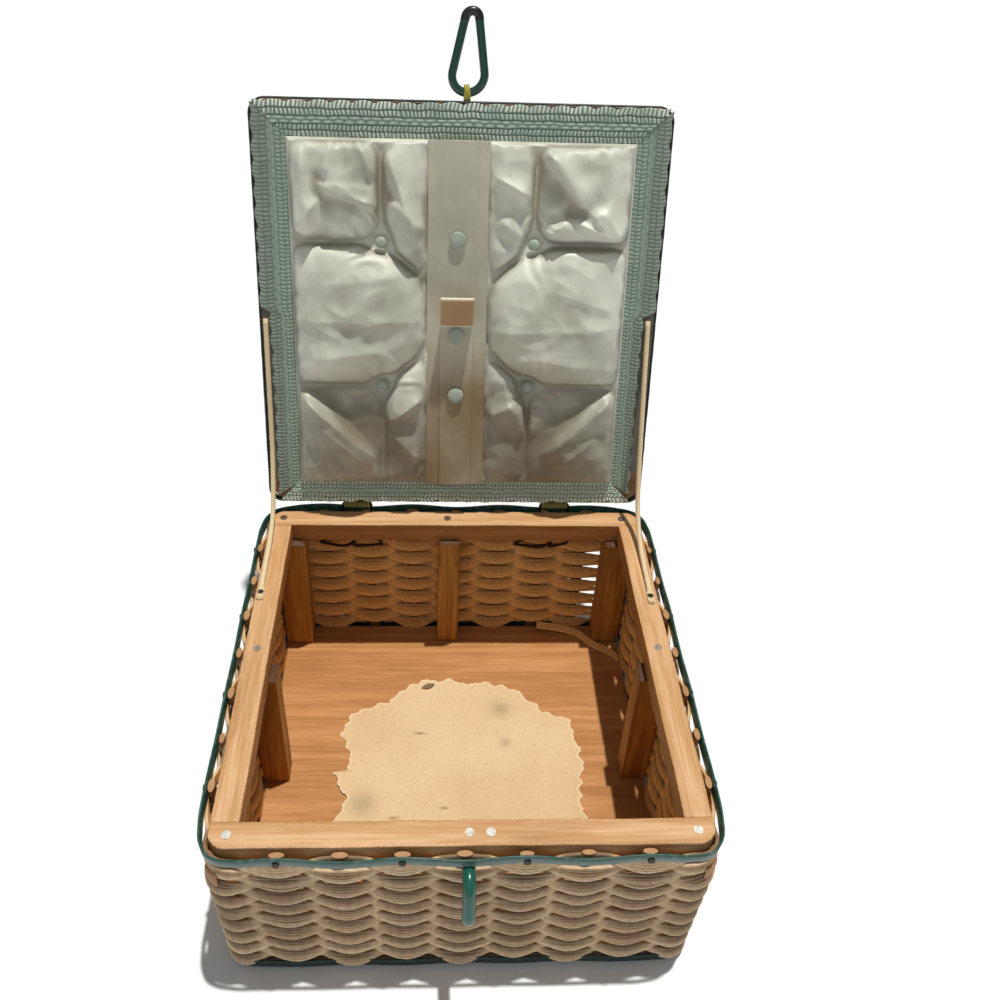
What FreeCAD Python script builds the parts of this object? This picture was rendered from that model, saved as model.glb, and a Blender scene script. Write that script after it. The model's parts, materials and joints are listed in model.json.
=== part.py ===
import FreeCAD, Part
import math
import os
import re

import Sketcher

# Sizes of the basket in millimetres, degrees and counts
SIZES = {
    # rim frame: four square rails
    "rim_width": 240.0,
    "rim_depth": 244.0,
    "rim_height": 109.0,
    "rail_width": 14.0,
    "rail_height": 13.0,
    "edge_round": 0.8,
    # bottom board and posts
    "board_thickness": 5.0,
    "post_width": 14.0,
    "post_thickness": 12.0,
    "post_gap": 0.4,
    "corner_post_inset": 1.6,
    # woven walls over upright reeds
    "wall_lean": 4.5,
    "reed_diameter": 4.2,
    "reed_gap": 0.9,
    "reed_pitch": 29.0,
    "reeds_each_way": 3,
    "reed_end_drop": 1.4,
    "reed_foot": 0.8,
    "weaver_thickness": 2.3,
    "wall_corner_radius": 11.0,
    "snug_gap": 0.15,
    # flat strips round rim, foot and lid
    "strip_width": 6.0,
    "strip_thickness": 1.1,
    "strip_drop": 0.4,
    "foot_strip_lift": 0.5,
    "foot_strip_width": 4.4,
    # nails and tacks
    "nail_head": 4.6,
    "nail_head_thickness": 0.7,
    "nail_proud": 0.3,
    "nail_shank": 1.7,
    "nail_length": 32.0,
    "tack_head": 3.4,
    "tack_head_thickness": 0.8,
    "tack_shank": 1.2,
    "tack_length": 9.0,
    "stay_tack_lift": 0.7,
    # torn paper on the floor
    "paper_thickness": 0.4,
    # lid hinge: wire staple with a wound knuckle
    "lid_lean": 15.5,
    "lid_gap": 2.0,
    "pin_depth": 2.4,
    "hinge_setback": 2.5,
    "knuckle_gap": 2.6,
    "hinge_wire": 2.0,
    "hinge_half_span": 12.0,
    "hinge_bend": 2.3,
    "hinge_run_drop": 3.4,
    "hinge_tail_length": 8.0,
    "hinge_tail_spread": 3.2,
    "winding_cord": 1.3,
    "winding_gap": 0.2,
    "winding_pitch": 1.75,
    "winding_turns": 9,
    # lid
    "lid_overhang": 2.0,
    "lid_side_overhang": 1.0,
    "lid_corner_radius": 9.0,
    "lid_weave_thickness": 7.0,
    "lid_reed_diameter": 3.2,
    "batten_margin": 1.0,
    "batten_thickness": 6.0,
    "card_thickness": 1.8,
    "card_gap": 0.3,
    "braid_width": 19.0,
    "braid_thickness": 1.4,
    "braid_step": 6.0,
    "lining_base": 4.0,
    "lining_crown": 8.0,
    "lining_edge": 1.2,
    "channel_width": 1.2,
    "tuft_low": 80.5,
    "tuft_high": 167.5,
    "tuft_offset": 45.0,
    "tuft_diameter": 7.0,
    "tuft_height": 3.0,
    "pleat_drop": 22.0,
    # ribbon, tool strap and its snap buttons
    "ribbon_width": 36.0,
    "ribbon_shift": -2.0,
    "ribbon_thickness": 0.8,
    "strap_width": 19.5,
    "strap_thickness": 1.0,
    "strap_crease": 118.7,
    "tab_length": 24.0,
    "tab_angle": 35.0,
    "tab_root_gap": 0.7,
    "snap_diameter": 9.8,
    "snap_height": 2.6,
    # clasp: loop on the lid and peg on the front
    "clasp_place": 2.0,
    "loop_tube": 4.8,
    "loop_width": 23.0,
    "loop_tip_width": 12.6,
    "loop_length": 44.5,
    "loop_depth": 3.0,
    "thread": 1.0,
    "thread_gap": 1.0,
    "thread_pitch": 1.45,
    "thread_turns": 3,
    "peg_diameter": 6.4,
    "peg_drop": 10.0,
    "peg_reach": 14.5,
    "peg_bend": 8.0,
    "peg_tip_reach": 21.0,
    "peg_tip_drop": 28.3,
    # stay cords
    "cord_diameter": 3.0,
    "cord_rest": 0.4,
}

# Places chosen by hand, as shares of the rim, the board, the lid or the cord
FRONT_NAIL_SHARES = (-0.463, 0.010, 0.052, 0.465)
BACK_NAIL_SHARES = (-0.466, -0.024, 0.453)
SIDE_NAIL_SHARE = 0.006
NAIL_ROW_SHARE = 0.5
MID_POST_SHARE = -0.018
SIDE_POST_SHARE = -0.02
LEFT_STAY_SHARES = (-0.4875, 0.186)
RIGHT_STAY_SHARES = (0.4815, 0.1735)
HINGE_PITCH_SHARE = 2.24
SNAP_SHARES = (0.691, 0.4585, 0.305)
PAPER_SHARES = (
    (-0.30, -0.262), (-0.17, -0.243), (-0.02, -0.27), (0.13, -0.247), (0.31, -0.258),
    (0.335, -0.168), (0.328, -0.095), (0.338, -0.031), (0.340, 0.035), (0.331, 0.082),
    (0.329, 0.142), (0.284, 0.157), (0.246, 0.183), (0.191, 0.238), (0.145, 0.261),
    (0.086, 0.277), (0.038, 0.272), (-0.009, 0.285), (-0.093, 0.282), (-0.134, 0.259),
    (-0.190, 0.206), (-0.225, 0.206), (-0.236, 0.189), (-0.284, 0.179), (-0.313, 0.101),
    (-0.283, 0.027), (-0.285, -0.019), (-0.319, -0.025), (-0.318, -0.051), (-0.290, -0.098),
    (-0.291, -0.128), (-0.314, -0.172),
)
LEFT_LID_SHARES = ((0.490, 0.75), (0.376, 0.95), (0.250, 0.80), (0.136, 0.95))
LEFT_RAIL_SHARES = ((0.459, 3.85), (0.389, 1.10), (0.2828, 0.70), (0.178, 0.63))
RIGHT_LID_SHARES = ((0.498, 0.75), (0.376, 1.87), (0.250, 3.30), (0.128, 4.60))
RIGHT_RAIL_SHARES = ((0.430, 5.70), (0.352, 1.60), (0.2605, 0.75), (0.1695, 0.63))

V = FreeCAD.Vector
DOWN_AXIS = V(0, 0, -1)
doc = FreeCAD.newDocument("SewingBasket")
sheet = doc.addObject("Spreadsheet::Sheet", "dims")
for row, (name, number) in enumerate(SIZES.items(), 1):
    sheet.set("A%d" % row, name)
    sheet.set("B%d" % row, repr(number))
    sheet.setAlias("B%d" % row, name)
doc.recompute()
D = {name: float(sheet.get(name)) for name in SIZES}
NODES = []


def formula(text):
    """The text with each size's name turned into its cell."""
    return re.sub(r"[a-z_]+", lambda m: "dims." + m.group(0) if m.group(0) in SIZES else m.group(0), text)


def bind(target, bindings):
    for path, text in bindings.items():
        target.setExpression(path, formula(text))


def node(target, label):
    """Name the finished sub-part and put it on the list that is written out."""
    target.Label = label
    NODES.append(target)
    return target


def feature(label, shape, placement=None):
    piece = doc.addObject("Part::Feature", label)
    piece.Shape = shape
    if placement is not None:
        piece.Placement = placement
    return node(piece, label)


# Places: the basket's own frame, and the lid's frame on its hinge axis
HINGE_Y = "(rim_depth / 2 + hinge_setback)"
HINGE_Z = "(rim_height + lid_gap + pin_depth)"
SIN = "sin(lid_lean * 1 deg)"
COS = "cos(lid_lean * 1 deg)"
LID_LENGTH = "(rim_depth + hinge_setback + lid_overhang - knuckle_gap)"
LID_WIDTH = "(rim_width + 2 * lid_side_overhang)"
INSET = "(strip_thickness + card_gap)"
BATTEN_WIDTH = "(braid_width + batten_margin)"


def stand(target, x, y, z):
    bind(target, {"Placement.Base.x": x, "Placement.Base.y": y, "Placement.Base.z": z})


def on_lid(target, x, along, out, turn="0"):
    """Place a piece on the lid: across, along from the hinge end, and out from the battens' face."""
    target.Placement = FreeCAD.Placement(V(), FreeCAD.Rotation(V(1, 0, 0), 1))
    run = "(%s + knuckle_gap)" % along
    rise = "(%s + pin_depth)" % out
    bind(target, {
        "Placement.Base.x": x,
        "Placement.Base.y": "%s + %s * %s - %s * %s" % (HINGE_Y, run, SIN, rise, COS),
        "Placement.Base.z": "%s + %s * %s + %s * %s" % (HINGE_Z, run, COS, rise, SIN),
        "Placement.Rotation.Angle": "90 deg - lid_lean * 1 deg + %s * 1 deg" % turn,
    })


hinge_point = V(0, D["rim_depth"] / 2 + D["hinge_setback"], D["rim_height"] + D["lid_gap"] + D["pin_depth"])
lid_turn = FreeCAD.Rotation(V(1, 0, 0), 90 - D["lid_lean"])
lid_length = D["rim_depth"] + D["hinge_setback"] + D["lid_overhang"] - D["knuckle_gap"]
lid_width = D["rim_width"] + 2 * D["lid_side_overhang"]
lid_place = FreeCAD.Placement(hinge_point + lid_turn.multVec(V(0, D["knuckle_gap"], D["pin_depth"])), lid_turn)


def block(label, size):
    box = doc.addObject("Part::Box", label)
    bind(box, dict(zip(("Length", "Width", "Height"), size)))
    return box


def softened(label, size):
    """A block with all its edges rounded."""
    box = block(label + "_stock", size)
    doc.recompute()
    rounded = doc.addObject("Part::Fillet", label)
    rounded.Base = box
    rounded.Edges = [(i + 1, D["edge_round"], D["edge_round"]) for i in range(len(box.Shape.Edges))]
    return rounded


def plate(label, outline, thickness, radius=None, shell=None):
    """A padded outline; corners rounded, and hollowed to a band where shell names its thickness."""
    body = doc.addObject("PartDesign::Body", label)
    sketch = body.newObject("Sketcher::SketchObject", label + "_outline")
    plane = [f for f in body.Origin.OriginFeatures if f.Role == "XY_Plane"][0]
    sketch.AttachmentSupport = [(plane, "")]
    sketch.MapMode = "FlatFace"
    count = len(outline)
    ring = [V(math.cos(2 * math.pi * i / count), math.sin(2 * math.pi * i / count), 0) for i in range(count)]
    for i in range(count):
        sketch.addGeometry(Part.LineSegment(ring[i], ring[(i + 1) % count]))
    for i in range(count):
        sketch.addConstraint(Sketcher.Constraint("Coincident", i, 2, (i + 1) % count, 1))
    for i, place in enumerate(outline):
        for axis, text in zip(("DistanceX", "DistanceY"), place):
            start = ring[i].x if axis == "DistanceX" else ring[i].y
            index = sketch.addConstraint(Sketcher.Constraint(axis, -1, 1, i, 1, start))
            sketch.setExpression("Constraints[%d]" % index, formula(text))
    pad = body.newObject("PartDesign::Pad", label + "_pad")
    pad.Profile = sketch
    pad.setExpression("Length", formula(thickness))
    doc.recompute()
    last = pad
    if radius:
        upright = ["Edge%d" % (i + 1) for i, e in enumerate(last.Shape.Edges)
                   if abs(e.tangentAt(e.FirstParameter).z) == 1]
        fillet = body.newObject("PartDesign::Fillet", label + "_corners")
        fillet.Base = (last, upright)
        fillet.setExpression("Radius", formula(radius))
        doc.recompute()
        last = fillet
    if shell:
        ends = ["Face%d" % (i + 1) for i, f in enumerate(last.Shape.Faces) if abs(f.normalAt(0, 0).z) == 1]
        band = body.newObject("PartDesign::Thickness", label + "_band")
        band.Base = (last, ends)
        band.Reversed = True
        band.setExpression("Value", formula(shell))
        doc.recompute()
        last = band
    body.Tip = last
    return body


def oblong(width, depth):
    """The four corners of an oblong about the origin."""
    w, d = "(%s) / 2" % width, "(%s) / 2" % depth
    return [("-" + w, "-" + d), (w, "-" + d), (w, d), ("-" + w, d)]


def tube(wire, diameter):
    """A round tube along a wire."""
    edge = wire.Edges[0]
    start = edge.valueAt(edge.FirstParameter)
    circle = Part.Wire([Part.Circle(start, edge.tangentAt(edge.FirstParameter), diameter / 2).toShape()])
    return wire.makePipeShell([circle], True, False)


def bent(points, radius_at):
    """Straight runs joined by tangent arcs; radius_at gives the bend at each inner point."""
    edges = []
    last = points[0]
    for i in range(1, len(points) - 1):
        here = points[i]
        back = (points[i - 1] - here).normalize()
        ahead = (points[i + 1] - here).normalize()
        half = math.acos(max(-1, min(1, -back.dot(ahead)))) / 2
        radius = radius_at(i, half)
        cut = radius * math.tan(half)
        first, final = here + back * cut, here + ahead * cut
        centre_line = (back + ahead).normalize()
        middle = here + centre_line * (radius / math.cos(half) - radius)
        edges.append(Part.LineSegment(last, first).toShape())
        edges.append(Part.Arc(first, middle, final).toShape())
        last = final
    edges.append(Part.LineSegment(last, points[-1]).toShape())
    return Part.Wire(edges)


def biarc(start, start_way, end, end_way):
    """Two arcs that join two points along their given directions."""
    span = end - start
    ways = start_way + end_way
    a = 2 * (start_way.dot(end_way) - 1)
    b = -2 * span.dot(ways)
    c = span.dot(span)
    reach = (-b - math.sqrt(b * b - 4 * a * c)) / (2 * a)
    corners = (start + start_way * reach, end - end_way * reach)
    middle = (corners[0] + corners[1]) * 0.5
    arcs = []
    for p, q, r in ((start, corners[0], middle), (middle, corners[1], end)):
        weight = (r - p).Length / 2 / reach
        arcs.append(Part.Arc(p, (p + r + q * (2 * weight)) * (1 / (2 + 2 * weight)), r).toShape())
    return arcs


def winding(label, centre_x, mean, cord, pitch, turns, tail):
    """Cord wound about X, from and back to a face at tail distance behind the axis."""
    total = turns + 0.5
    x0 = centre_x - pitch * total / 2

    def place(turn):
        angle = 2 * math.pi * turn
        return V(x0 + pitch * turn, mean * math.sin(angle), mean * math.cos(angle))

    def way(turn):
        angle = 2 * math.pi * turn
        return V(pitch / (2 * math.pi), mean * math.cos(angle), -mean * math.sin(angle)).normalize()

    steps = int(4 * total)
    stops = [total * i / steps for i in range(steps + 1)]
    first, last = place(0), place(total)
    lead = V(0, 1, 0)
    bend = mean / 2
    edges = [Part.LineSegment(V(first.x - pitch / 4, -tail, mean), V(first.x - pitch / 4, -bend, mean)).toShape()]
    entry = V(first.x - pitch / 4, -bend, mean)
    edges += biarc(entry, lead, place(stops[1]), way(stops[1]))
    for a, b in zip(stops[1:-2], stops[2:-1]):
        edges += biarc(place(a), way(a), place(b), way(b))
    leave = V(last.x + pitch / 4, -bend, -mean)
    edges += biarc(place(stops[-2]), way(stops[-2]), leave, lead * -1)
    edges.append(Part.LineSegment(leave, V(leave.x, -tail, -mean)).toShape())
    path = Part.Wire(edges)
    samples = path.discretize(Number=900)
    step = path.Length / 899
    skip = int(4 * cord / step) + 1
    least = min((p - q).Length for i, p in enumerate(samples) for q in samples[i + skip:])
    print(label, "least gap between turns", round(least - cord, 3))
    return tube(path, cord)


# Bottom board, rails and posts
def reach(z):
    """How far the reeds' line stands outside the rails at a height."""
    return "(reed_gap + reed_diameter / 2 - wall_lean * (1 - (%s) / rim_height))" % z


board_grow = "2 * (%s - reed_diameter / 2 - snug_gap)" % reach("0")
BOARD_WIDTH = "(rim_width + %s)" % board_grow
BOARD_DEPTH = "(rim_depth + %s)" % board_grow
board = plate("bottom_board", oblong(BOARD_WIDTH, BOARD_DEPTH), "board_thickness", "corner_post_inset")
node(board, "bottom_board")

RAIL_Z = "rim_height - rail_height"
for label, y in (("front_rail", "-rim_depth / 2"), ("back_rail", "rim_depth / 2 - rail_width")):
    rail = node(softened(label, ("rim_width", "rail_width", "rail_height")), label)
    stand(rail, "-rim_width / 2", y, RAIL_Z)
for label, x in (("left_rail", "-rim_width / 2"), ("right_rail", "rim_width / 2 - rail_width")):
    rail = node(softened(label, ("rail_width", "rim_depth - 2 * rail_width", "rail_height")), label)
    stand(rail, x, "-rim_depth / 2 + rail_width", RAIL_Z)

wall_half = "(reed_diameter / 2 + weaver_thickness)"
inset_low = "(%s - %s + post_gap)" % (wall_half, reach("board_thickness"))
inset_high = "(%s - %s + post_gap)" % (wall_half, reach("rim_height - rail_height"))


def post(label, x_side, y_side, x_place=None, y_place=None):
    """A post that leans with the wall; a side of -1, 0 or 1 on each axis, 0 being a stated place."""
    wedge = doc.addObject("Part::Wedge", label)
    wedge.Placement = FreeCAD.Placement(V(), FreeCAD.Rotation(V(1, 0, 0), 90))
    extra = "corner_post_inset" if x_side and y_side else "0"
    rows = {"Ymin": "board_thickness", "Ymax": RAIL_Z}
    for level, inset in (("", inset_low), ("2", inset_high)):
        for axis, side, half, place in (("X", x_side, "rim_width / 2", x_place), ("Z", -y_side, "rim_depth / 2", y_place)):
            size = "post_width" if (axis == "X") == bool(y_side) else "post_thickness"
            outer = "(%s - %s - %s)" % (half, inset, extra)
            if side == 0:
                low, high = "%s - post_width / 2" % place, "%s + post_width / 2" % place
            elif side < 0:
                low, high = "-%s" % outer, "-%s + %s" % (outer, size)
            else:
                low, high = "%s - %s" % (outer, size), outer
            rows[axis + level + "min"] = low
            rows[axis + level + "max"] = high
    bind(wedge, rows)
    return node(wedge, label)


post("front_left_post", -1, -1)
post("front_right_post", 1, -1)
post("back_left_post", -1, 1)
post("back_right_post", 1, 1)
post("front_mid_post", 0, -1, x_place="rim_width * %s" % MID_POST_SHARE)
post("back_mid_post", 0, 1, x_place="rim_width * %s" % MID_POST_SHARE)
post("left_mid_post", -1, 0, y_place="-rim_depth * %s" % SIDE_POST_SHARE)
post("right_mid_post", 1, 0, y_place="-rim_depth * %s" % SIDE_POST_SHARE)

# Woven walls and their upright reeds
wall_thickness = D["reed_diameter"] + 2 * D["weaver_thickness"]
wall_low = D["board_thickness"] + D["snug_gap"]
wall_high = D["rim_height"] - D["strip_drop"] - D["strip_width"] - D["snug_gap"]
reed_low = D["reed_foot"]
reed_high = D["rim_height"] - D["reed_end_drop"]
half_turn_share = math.sqrt(0.5)


def reeds_out(z):
    return D["reed_gap"] + D["reed_diameter"] / 2 - D["wall_lean"] * (1 - z / D["rim_height"])


def wall_section(z, kind):
    """The wall's outline at a height: the end walls take the round corners, the side walls lie between."""
    outer_x = D["rim_width"] / 2 + reeds_out(z) + wall_thickness / 2
    outer_y = D["rim_depth"] / 2 + reeds_out(z) + wall_thickness / 2
    big = max(D["wall_corner_radius"], wall_thickness + D["edge_round"])
    small = big - wall_thickness
    cx, cy = outer_x - big, outer_y - big
    if kind == "side":
        corners = ((outer_x, -cy), (outer_x, cy), (outer_x - wall_thickness, cy), (outer_x - wall_thickness, -cy))
        return Part.makePolygon([V(x, y, z) for x, y in corners + corners[:1]])

    def on(side, radius, share):
        angle = math.pi / 2 * share
        return V(side * (cx + radius * math.cos(angle)), cy + radius * math.sin(angle), z)

    edges = [Part.Arc(on(-1, big, 0), on(-1, big, 0.5), on(-1, big, 1)),
             Part.LineSegment(on(-1, big, 1), on(1, big, 1)),
             Part.Arc(on(1, big, 1), on(1, big, 0.5), on(1, big, 0)),
             Part.LineSegment(on(1, big, 0), on(1, small, 0)),
             Part.Arc(on(1, small, 0), on(1, small, 0.5), on(1, small, 1)),
             Part.LineSegment(on(1, small, 1), on(-1, small, 1)),
             Part.Arc(on(-1, small, 1), on(-1, small, 0.5), on(-1, small, 0)),
             Part.LineSegment(on(-1, small, 0), on(-1, big, 0))]
    return Part.Wire([e.toShape() for e in edges])


def reed_line(kind):
    """Foot and head of each reed of a back or right wall."""
    lines = []
    for k in range(-int(D["reeds_each_way"]), int(D["reeds_each_way"]) + 1):
        ends = []
        for z in (reed_low, reed_high):
            out = reeds_out(z)
            half = D["rim_width"] / 2 if kind == "side" else D["rim_depth"] / 2
            fan = (half + out) / (half + reeds_out(reed_high))
            along = k * D["reed_pitch"] * fan
            ends.append(V(half + out, along, z) if kind == "side" else V(along, half + out, z))
        lines.append(ends)
    if kind == "end":
        arm = (D["reed_gap"] + D["reed_diameter"] / 2) * half_turn_share
        for side in (-1, 1):
            ends = []
            for z in (reed_low, reed_high):
                out = arm - D["wall_lean"] * (1 - z / D["rim_height"])
                ends.append(V(side * (D["rim_width"] / 2 + out), D["rim_depth"] / 2 + out, z))
            lines.append(ends)
    return lines


def reed_rods(kind, grow):
    rods = []
    for foot, head in reed_line(kind):
        way = head - foot
        rods.append(Part.makeCylinder(D["reed_diameter"] / 2 + grow, way.Length, foot, way))
    return rods


rail_room = Part.makeBox(
    D["rim_width"] + 2 * D["snug_gap"], D["rim_depth"] + 2 * D["snug_gap"], D["rail_height"] + D["snug_gap"],
    V(-D["rim_width"] / 2 - D["snug_gap"], -D["rim_depth"] / 2 - D["snug_gap"],
      D["rim_height"] - D["rail_height"] - D["snug_gap"]))
half_round = FreeCAD.Rotation(V(0, 0, 1), 180)
for kind, labels in (("end", ("back", "front")), ("side", ("right", "left"))):
    wall = Part.makeLoft([wall_section(wall_low, kind), wall_section(wall_high, kind)], True, True)
    wall = wall.cut([rail_room] + reed_rods(kind, D["snug_gap"]))
    wall = wall.Solids[0]
    rods = Part.makeCompound(reed_rods(kind, 0))
    for label, turn in zip(labels, (FreeCAD.Rotation(), half_round)):
        feature(label + "_wall", wall, FreeCAD.Placement(V(), turn))
        feature(label + "_reeds", rods, FreeCAD.Placement(V(), turn))

# Green strips round rim and foot
strip_out = "2 * (%s + reed_diameter / 2 + snug_gap + strip_thickness)"
rim_out = strip_out % reach("rim_height")
rim_strip = plate("rim_strip", oblong("rim_width + " + rim_out, "rim_depth + " + rim_out), "strip_width",
                  "reed_diameter + strip_thickness", "strip_thickness")
stand(node(rim_strip, "rim_strip"), "0", "0", "rim_height - strip_drop - strip_width")
foot_out = strip_out % reach("board_thickness")
foot_strip = plate("foot_strip", oblong("rim_width + " + foot_out, "rim_depth + " + foot_out), "foot_strip_width",
                   "reed_diameter + strip_thickness", "strip_thickness")
stand(node(foot_strip, "foot_strip"), "0", "0", "foot_strip_lift")


# Nails and tacks
def pin(head, head_thickness, shank, length, place, way):
    """A flat-headed nail driven along a direction; its head's top is at the place."""
    way = V(way).normalize()
    top = Part.makeCylinder(head / 2, head_thickness, place, way)
    return top.fuse(Part.makeCylinder(shank / 2, length, place, way)).removeSplitter()


def rail_nail(x, y):
    place = V(x, y, D["rim_height"] + D["nail_proud"])
    return pin(D["nail_head"], D["nail_head_thickness"], D["nail_shank"], D["nail_length"], place, DOWN_AXIS)


row = D["rim_depth"] / 2 - D["rail_width"] * NAIL_ROW_SHARE
side_row = D["rim_width"] / 2 - D["rail_width"] * NAIL_ROW_SHARE
nails = [rail_nail(D["rim_width"] * share, -row) for share in FRONT_NAIL_SHARES]
nails += [rail_nail(D["rim_width"] * share, row) for share in BACK_NAIL_SHARES]
nails += [rail_nail(side * side_row, D["rim_depth"] * SIDE_NAIL_SHARE) for side in (-1, 1)]
feature("rail_nails", Part.makeCompound(nails))

tack_z = D["rim_height"] - D["strip_drop"] - D["strip_width"] / 2
strip_face = reeds_out(D["rim_height"]) + D["reed_diameter"] / 2 + D["snug_gap"] + D["strip_thickness"]
strip_face += D["tack_head_thickness"]
tacks = []
for k in (-3, -1, 1, 3):
    along = k * D["reed_pitch"]
    for side in (-1, 1):
        spots = ((V(along, side * (D["rim_depth"] / 2 + strip_face), tack_z), V(0, -side, 0)),
                 (V(side * (D["rim_width"] / 2 + strip_face), along, tack_z), V(-side, 0, 0)))
        for place, way in spots:
            tacks.append(pin(D["tack_head"], D["tack_head_thickness"], D["tack_shank"], D["tack_length"], place, way))
feature("strip_tacks", Part.makeCompound(tacks))

stay_spots = []
for share_x, share_y in (LEFT_STAY_SHARES, RIGHT_STAY_SHARES):
    lift = D["rim_height"] + D["stay_tack_lift"] + D["tack_head_thickness"]
    stay_spots.append(V(D["rim_width"] * share_x, D["rim_depth"] * share_y, lift))
feature("stay_tacks", Part.makeCompound([
    pin(D["tack_head"], D["tack_head_thickness"], D["tack_shank"], D["tack_length"], place, DOWN_AXIS)
    for place in stay_spots]))

# Torn paper on the floor
outline = [("%s * %s" % (BOARD_WIDTH, x), "%s * %s" % (BOARD_DEPTH, y)) for x, y in PAPER_SHARES]
paper = plate("paper_liner", outline, "paper_thickness")
stand(node(paper, "paper_liner"), "0", "0", "board_thickness")

# Peg of the clasp, set in the weave under the rim strip
front = -D["rim_depth"] / 2
peg_z = D["rim_height"] - D["peg_drop"]
peg_root = front - reeds_out(peg_z) - D["reed_diameter"] / 2 - D["snug_gap"]
peg_path = bent([V(D["clasp_place"], peg_root, peg_z),
                 V(D["clasp_place"], front - D["peg_reach"], peg_z),
                 V(D["clasp_place"], front - D["peg_tip_reach"], D["rim_height"] - D["peg_tip_drop"])],
                lambda i, half: D["peg_bend"])
peg = tube(peg_path, D["peg_diameter"])
feature("clasp_peg", peg)

# Hinges: a wire staple through the back wall, and a cord winding that turns on it
run_z = D["rim_height"] - D["rail_height"] - D["hinge_run_drop"]
inner_y = D["rim_depth"] / 2 + reeds_out(run_z) - wall_thickness / 2 - D["hinge_wire"] / 2 - D["snug_gap"]
coil_mean = D["hinge_wire"] / 2 + D["winding_gap"] + D["winding_cord"] / 2
for label, side in (("left", -1), ("right", 1)):
    x = side * HINGE_PITCH_SHARE * D["reed_pitch"]
    span, spread, tail = D["hinge_half_span"], D["hinge_tail_spread"], D["hinge_tail_length"]
    leg_y, top = hinge_point.y, hinge_point.z
    root = D["hinge_wire"] / 2 + D["winding_gap"]
    route = [V(x + spread, inner_y, run_z - tail), V(x + root, inner_y, run_z), V(x + span, inner_y, run_z),
             V(x + span, leg_y, run_z), V(x + span, leg_y, top), V(x - span, leg_y, top),
             V(x - span, leg_y, run_z), V(x - span, inner_y, run_z), V(x - root, inner_y, run_z),
             V(x - spread, inner_y, run_z - tail)]
    feature(label + "_hinge_wire", tube(bent(route, lambda i, half: D["hinge_bend"]), D["hinge_wire"]))
    coil = winding(label + "_hinge_winding", x, coil_mean, D["winding_cord"], D["winding_pitch"],
                   int(D["winding_turns"]), D["knuckle_gap"])
    over = FreeCAD.Rotation(V(1, 0, 0), 180)
    feature(label + "_hinge_winding", coil, FreeCAD.Placement(hinge_point, lid_turn.multiply(over)))

# Lid: woven top on reeds, battens, edge strip and backing card
weave_out = "-batten_thickness - lid_weave_thickness"
rods = []
for k in range(-int(D["reeds_each_way"]), int(D["reeds_each_way"]) + 1):
    rods.append(V(k * D["reed_pitch"], 0, -D["batten_thickness"] - D["lid_weave_thickness"] / 2))
slab = plate("lid_weave_stock", oblong(LID_WIDTH, LID_LENGTH), "lid_weave_thickness", "lid_corner_radius")
slab.Placement.Base = V(0, lid_length / 2, -D["batten_thickness"] - D["lid_weave_thickness"])
doc.recompute()
rod_rooms = [Part.makeCylinder(D["lid_reed_diameter"] / 2 + D["snug_gap"], lid_length, p, V(0, 1, 0)) for p in rods]
feature("lid_weave", slab.Shape.cut(rod_rooms), lid_place)
feature("lid_reeds", Part.makeCompound([
    Part.makeCylinder(D["lid_reed_diameter"] / 2, lid_length, p, V(0, 1, 0)) for p in rods]), lid_place)

strip = plate("lid_edge_strip", oblong(LID_WIDTH, LID_LENGTH), "batten_thickness", "lid_corner_radius",
              "strip_thickness")
on_lid(node(strip, "lid_edge_strip"), "0", LID_LENGTH + " / 2", "-batten_thickness")

frame_width = "(%s - 2 * %s)" % (LID_WIDTH, INSET)
frame_length = "(%s - 2 * %s)" % (LID_LENGTH, INSET)
w, l, b = frame_width + " / 2", frame_length, BATTEN_WIDTH
cut = "(lid_corner_radius - %s)" % INSET
BATTENS = {
    "lid_back_batten": [("-%s + %s" % (w, cut), "0"), ("%s - %s" % (w, cut), "0"), (w, cut), (w, b),
                        ("-%s" % w, b), ("-%s" % w, cut)],
    "lid_front_batten": [("-%s" % w, "%s - %s" % (l, b)), (w, "%s - %s" % (l, b)), (w, "%s - %s" % (l, cut)),
                         ("%s - %s" % (w, cut), l), ("-%s + %s" % (w, cut), l), ("-%s" % w, "%s - %s" % (l, cut))],
    "lid_left_batten": [("-%s" % w, b), ("-%s + %s" % (w, b), b), ("-%s + %s" % (w, b), "%s - %s" % (l, b)),
                        ("-%s" % w, "%s - %s" % (l, b))],
    "lid_right_batten": [("%s - %s" % (w, b), b), (w, b), (w, "%s - %s" % (l, b)),
                         ("%s - %s" % (w, b), "%s - %s" % (l, b))],
}
for label, outline in BATTENS.items():
    on_lid(node(plate(label, outline, "batten_thickness"), label), "0", INSET, "-batten_thickness")
card_inset = " - 2 * %s - 2 * card_gap" % BATTEN_WIDTH
card = plate("backing_card", oblong(frame_width + card_inset, frame_length + card_inset), "card_thickness")
on_lid(node(card, "backing_card"), "0", LID_LENGTH + " / 2", "-card_thickness")

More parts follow.
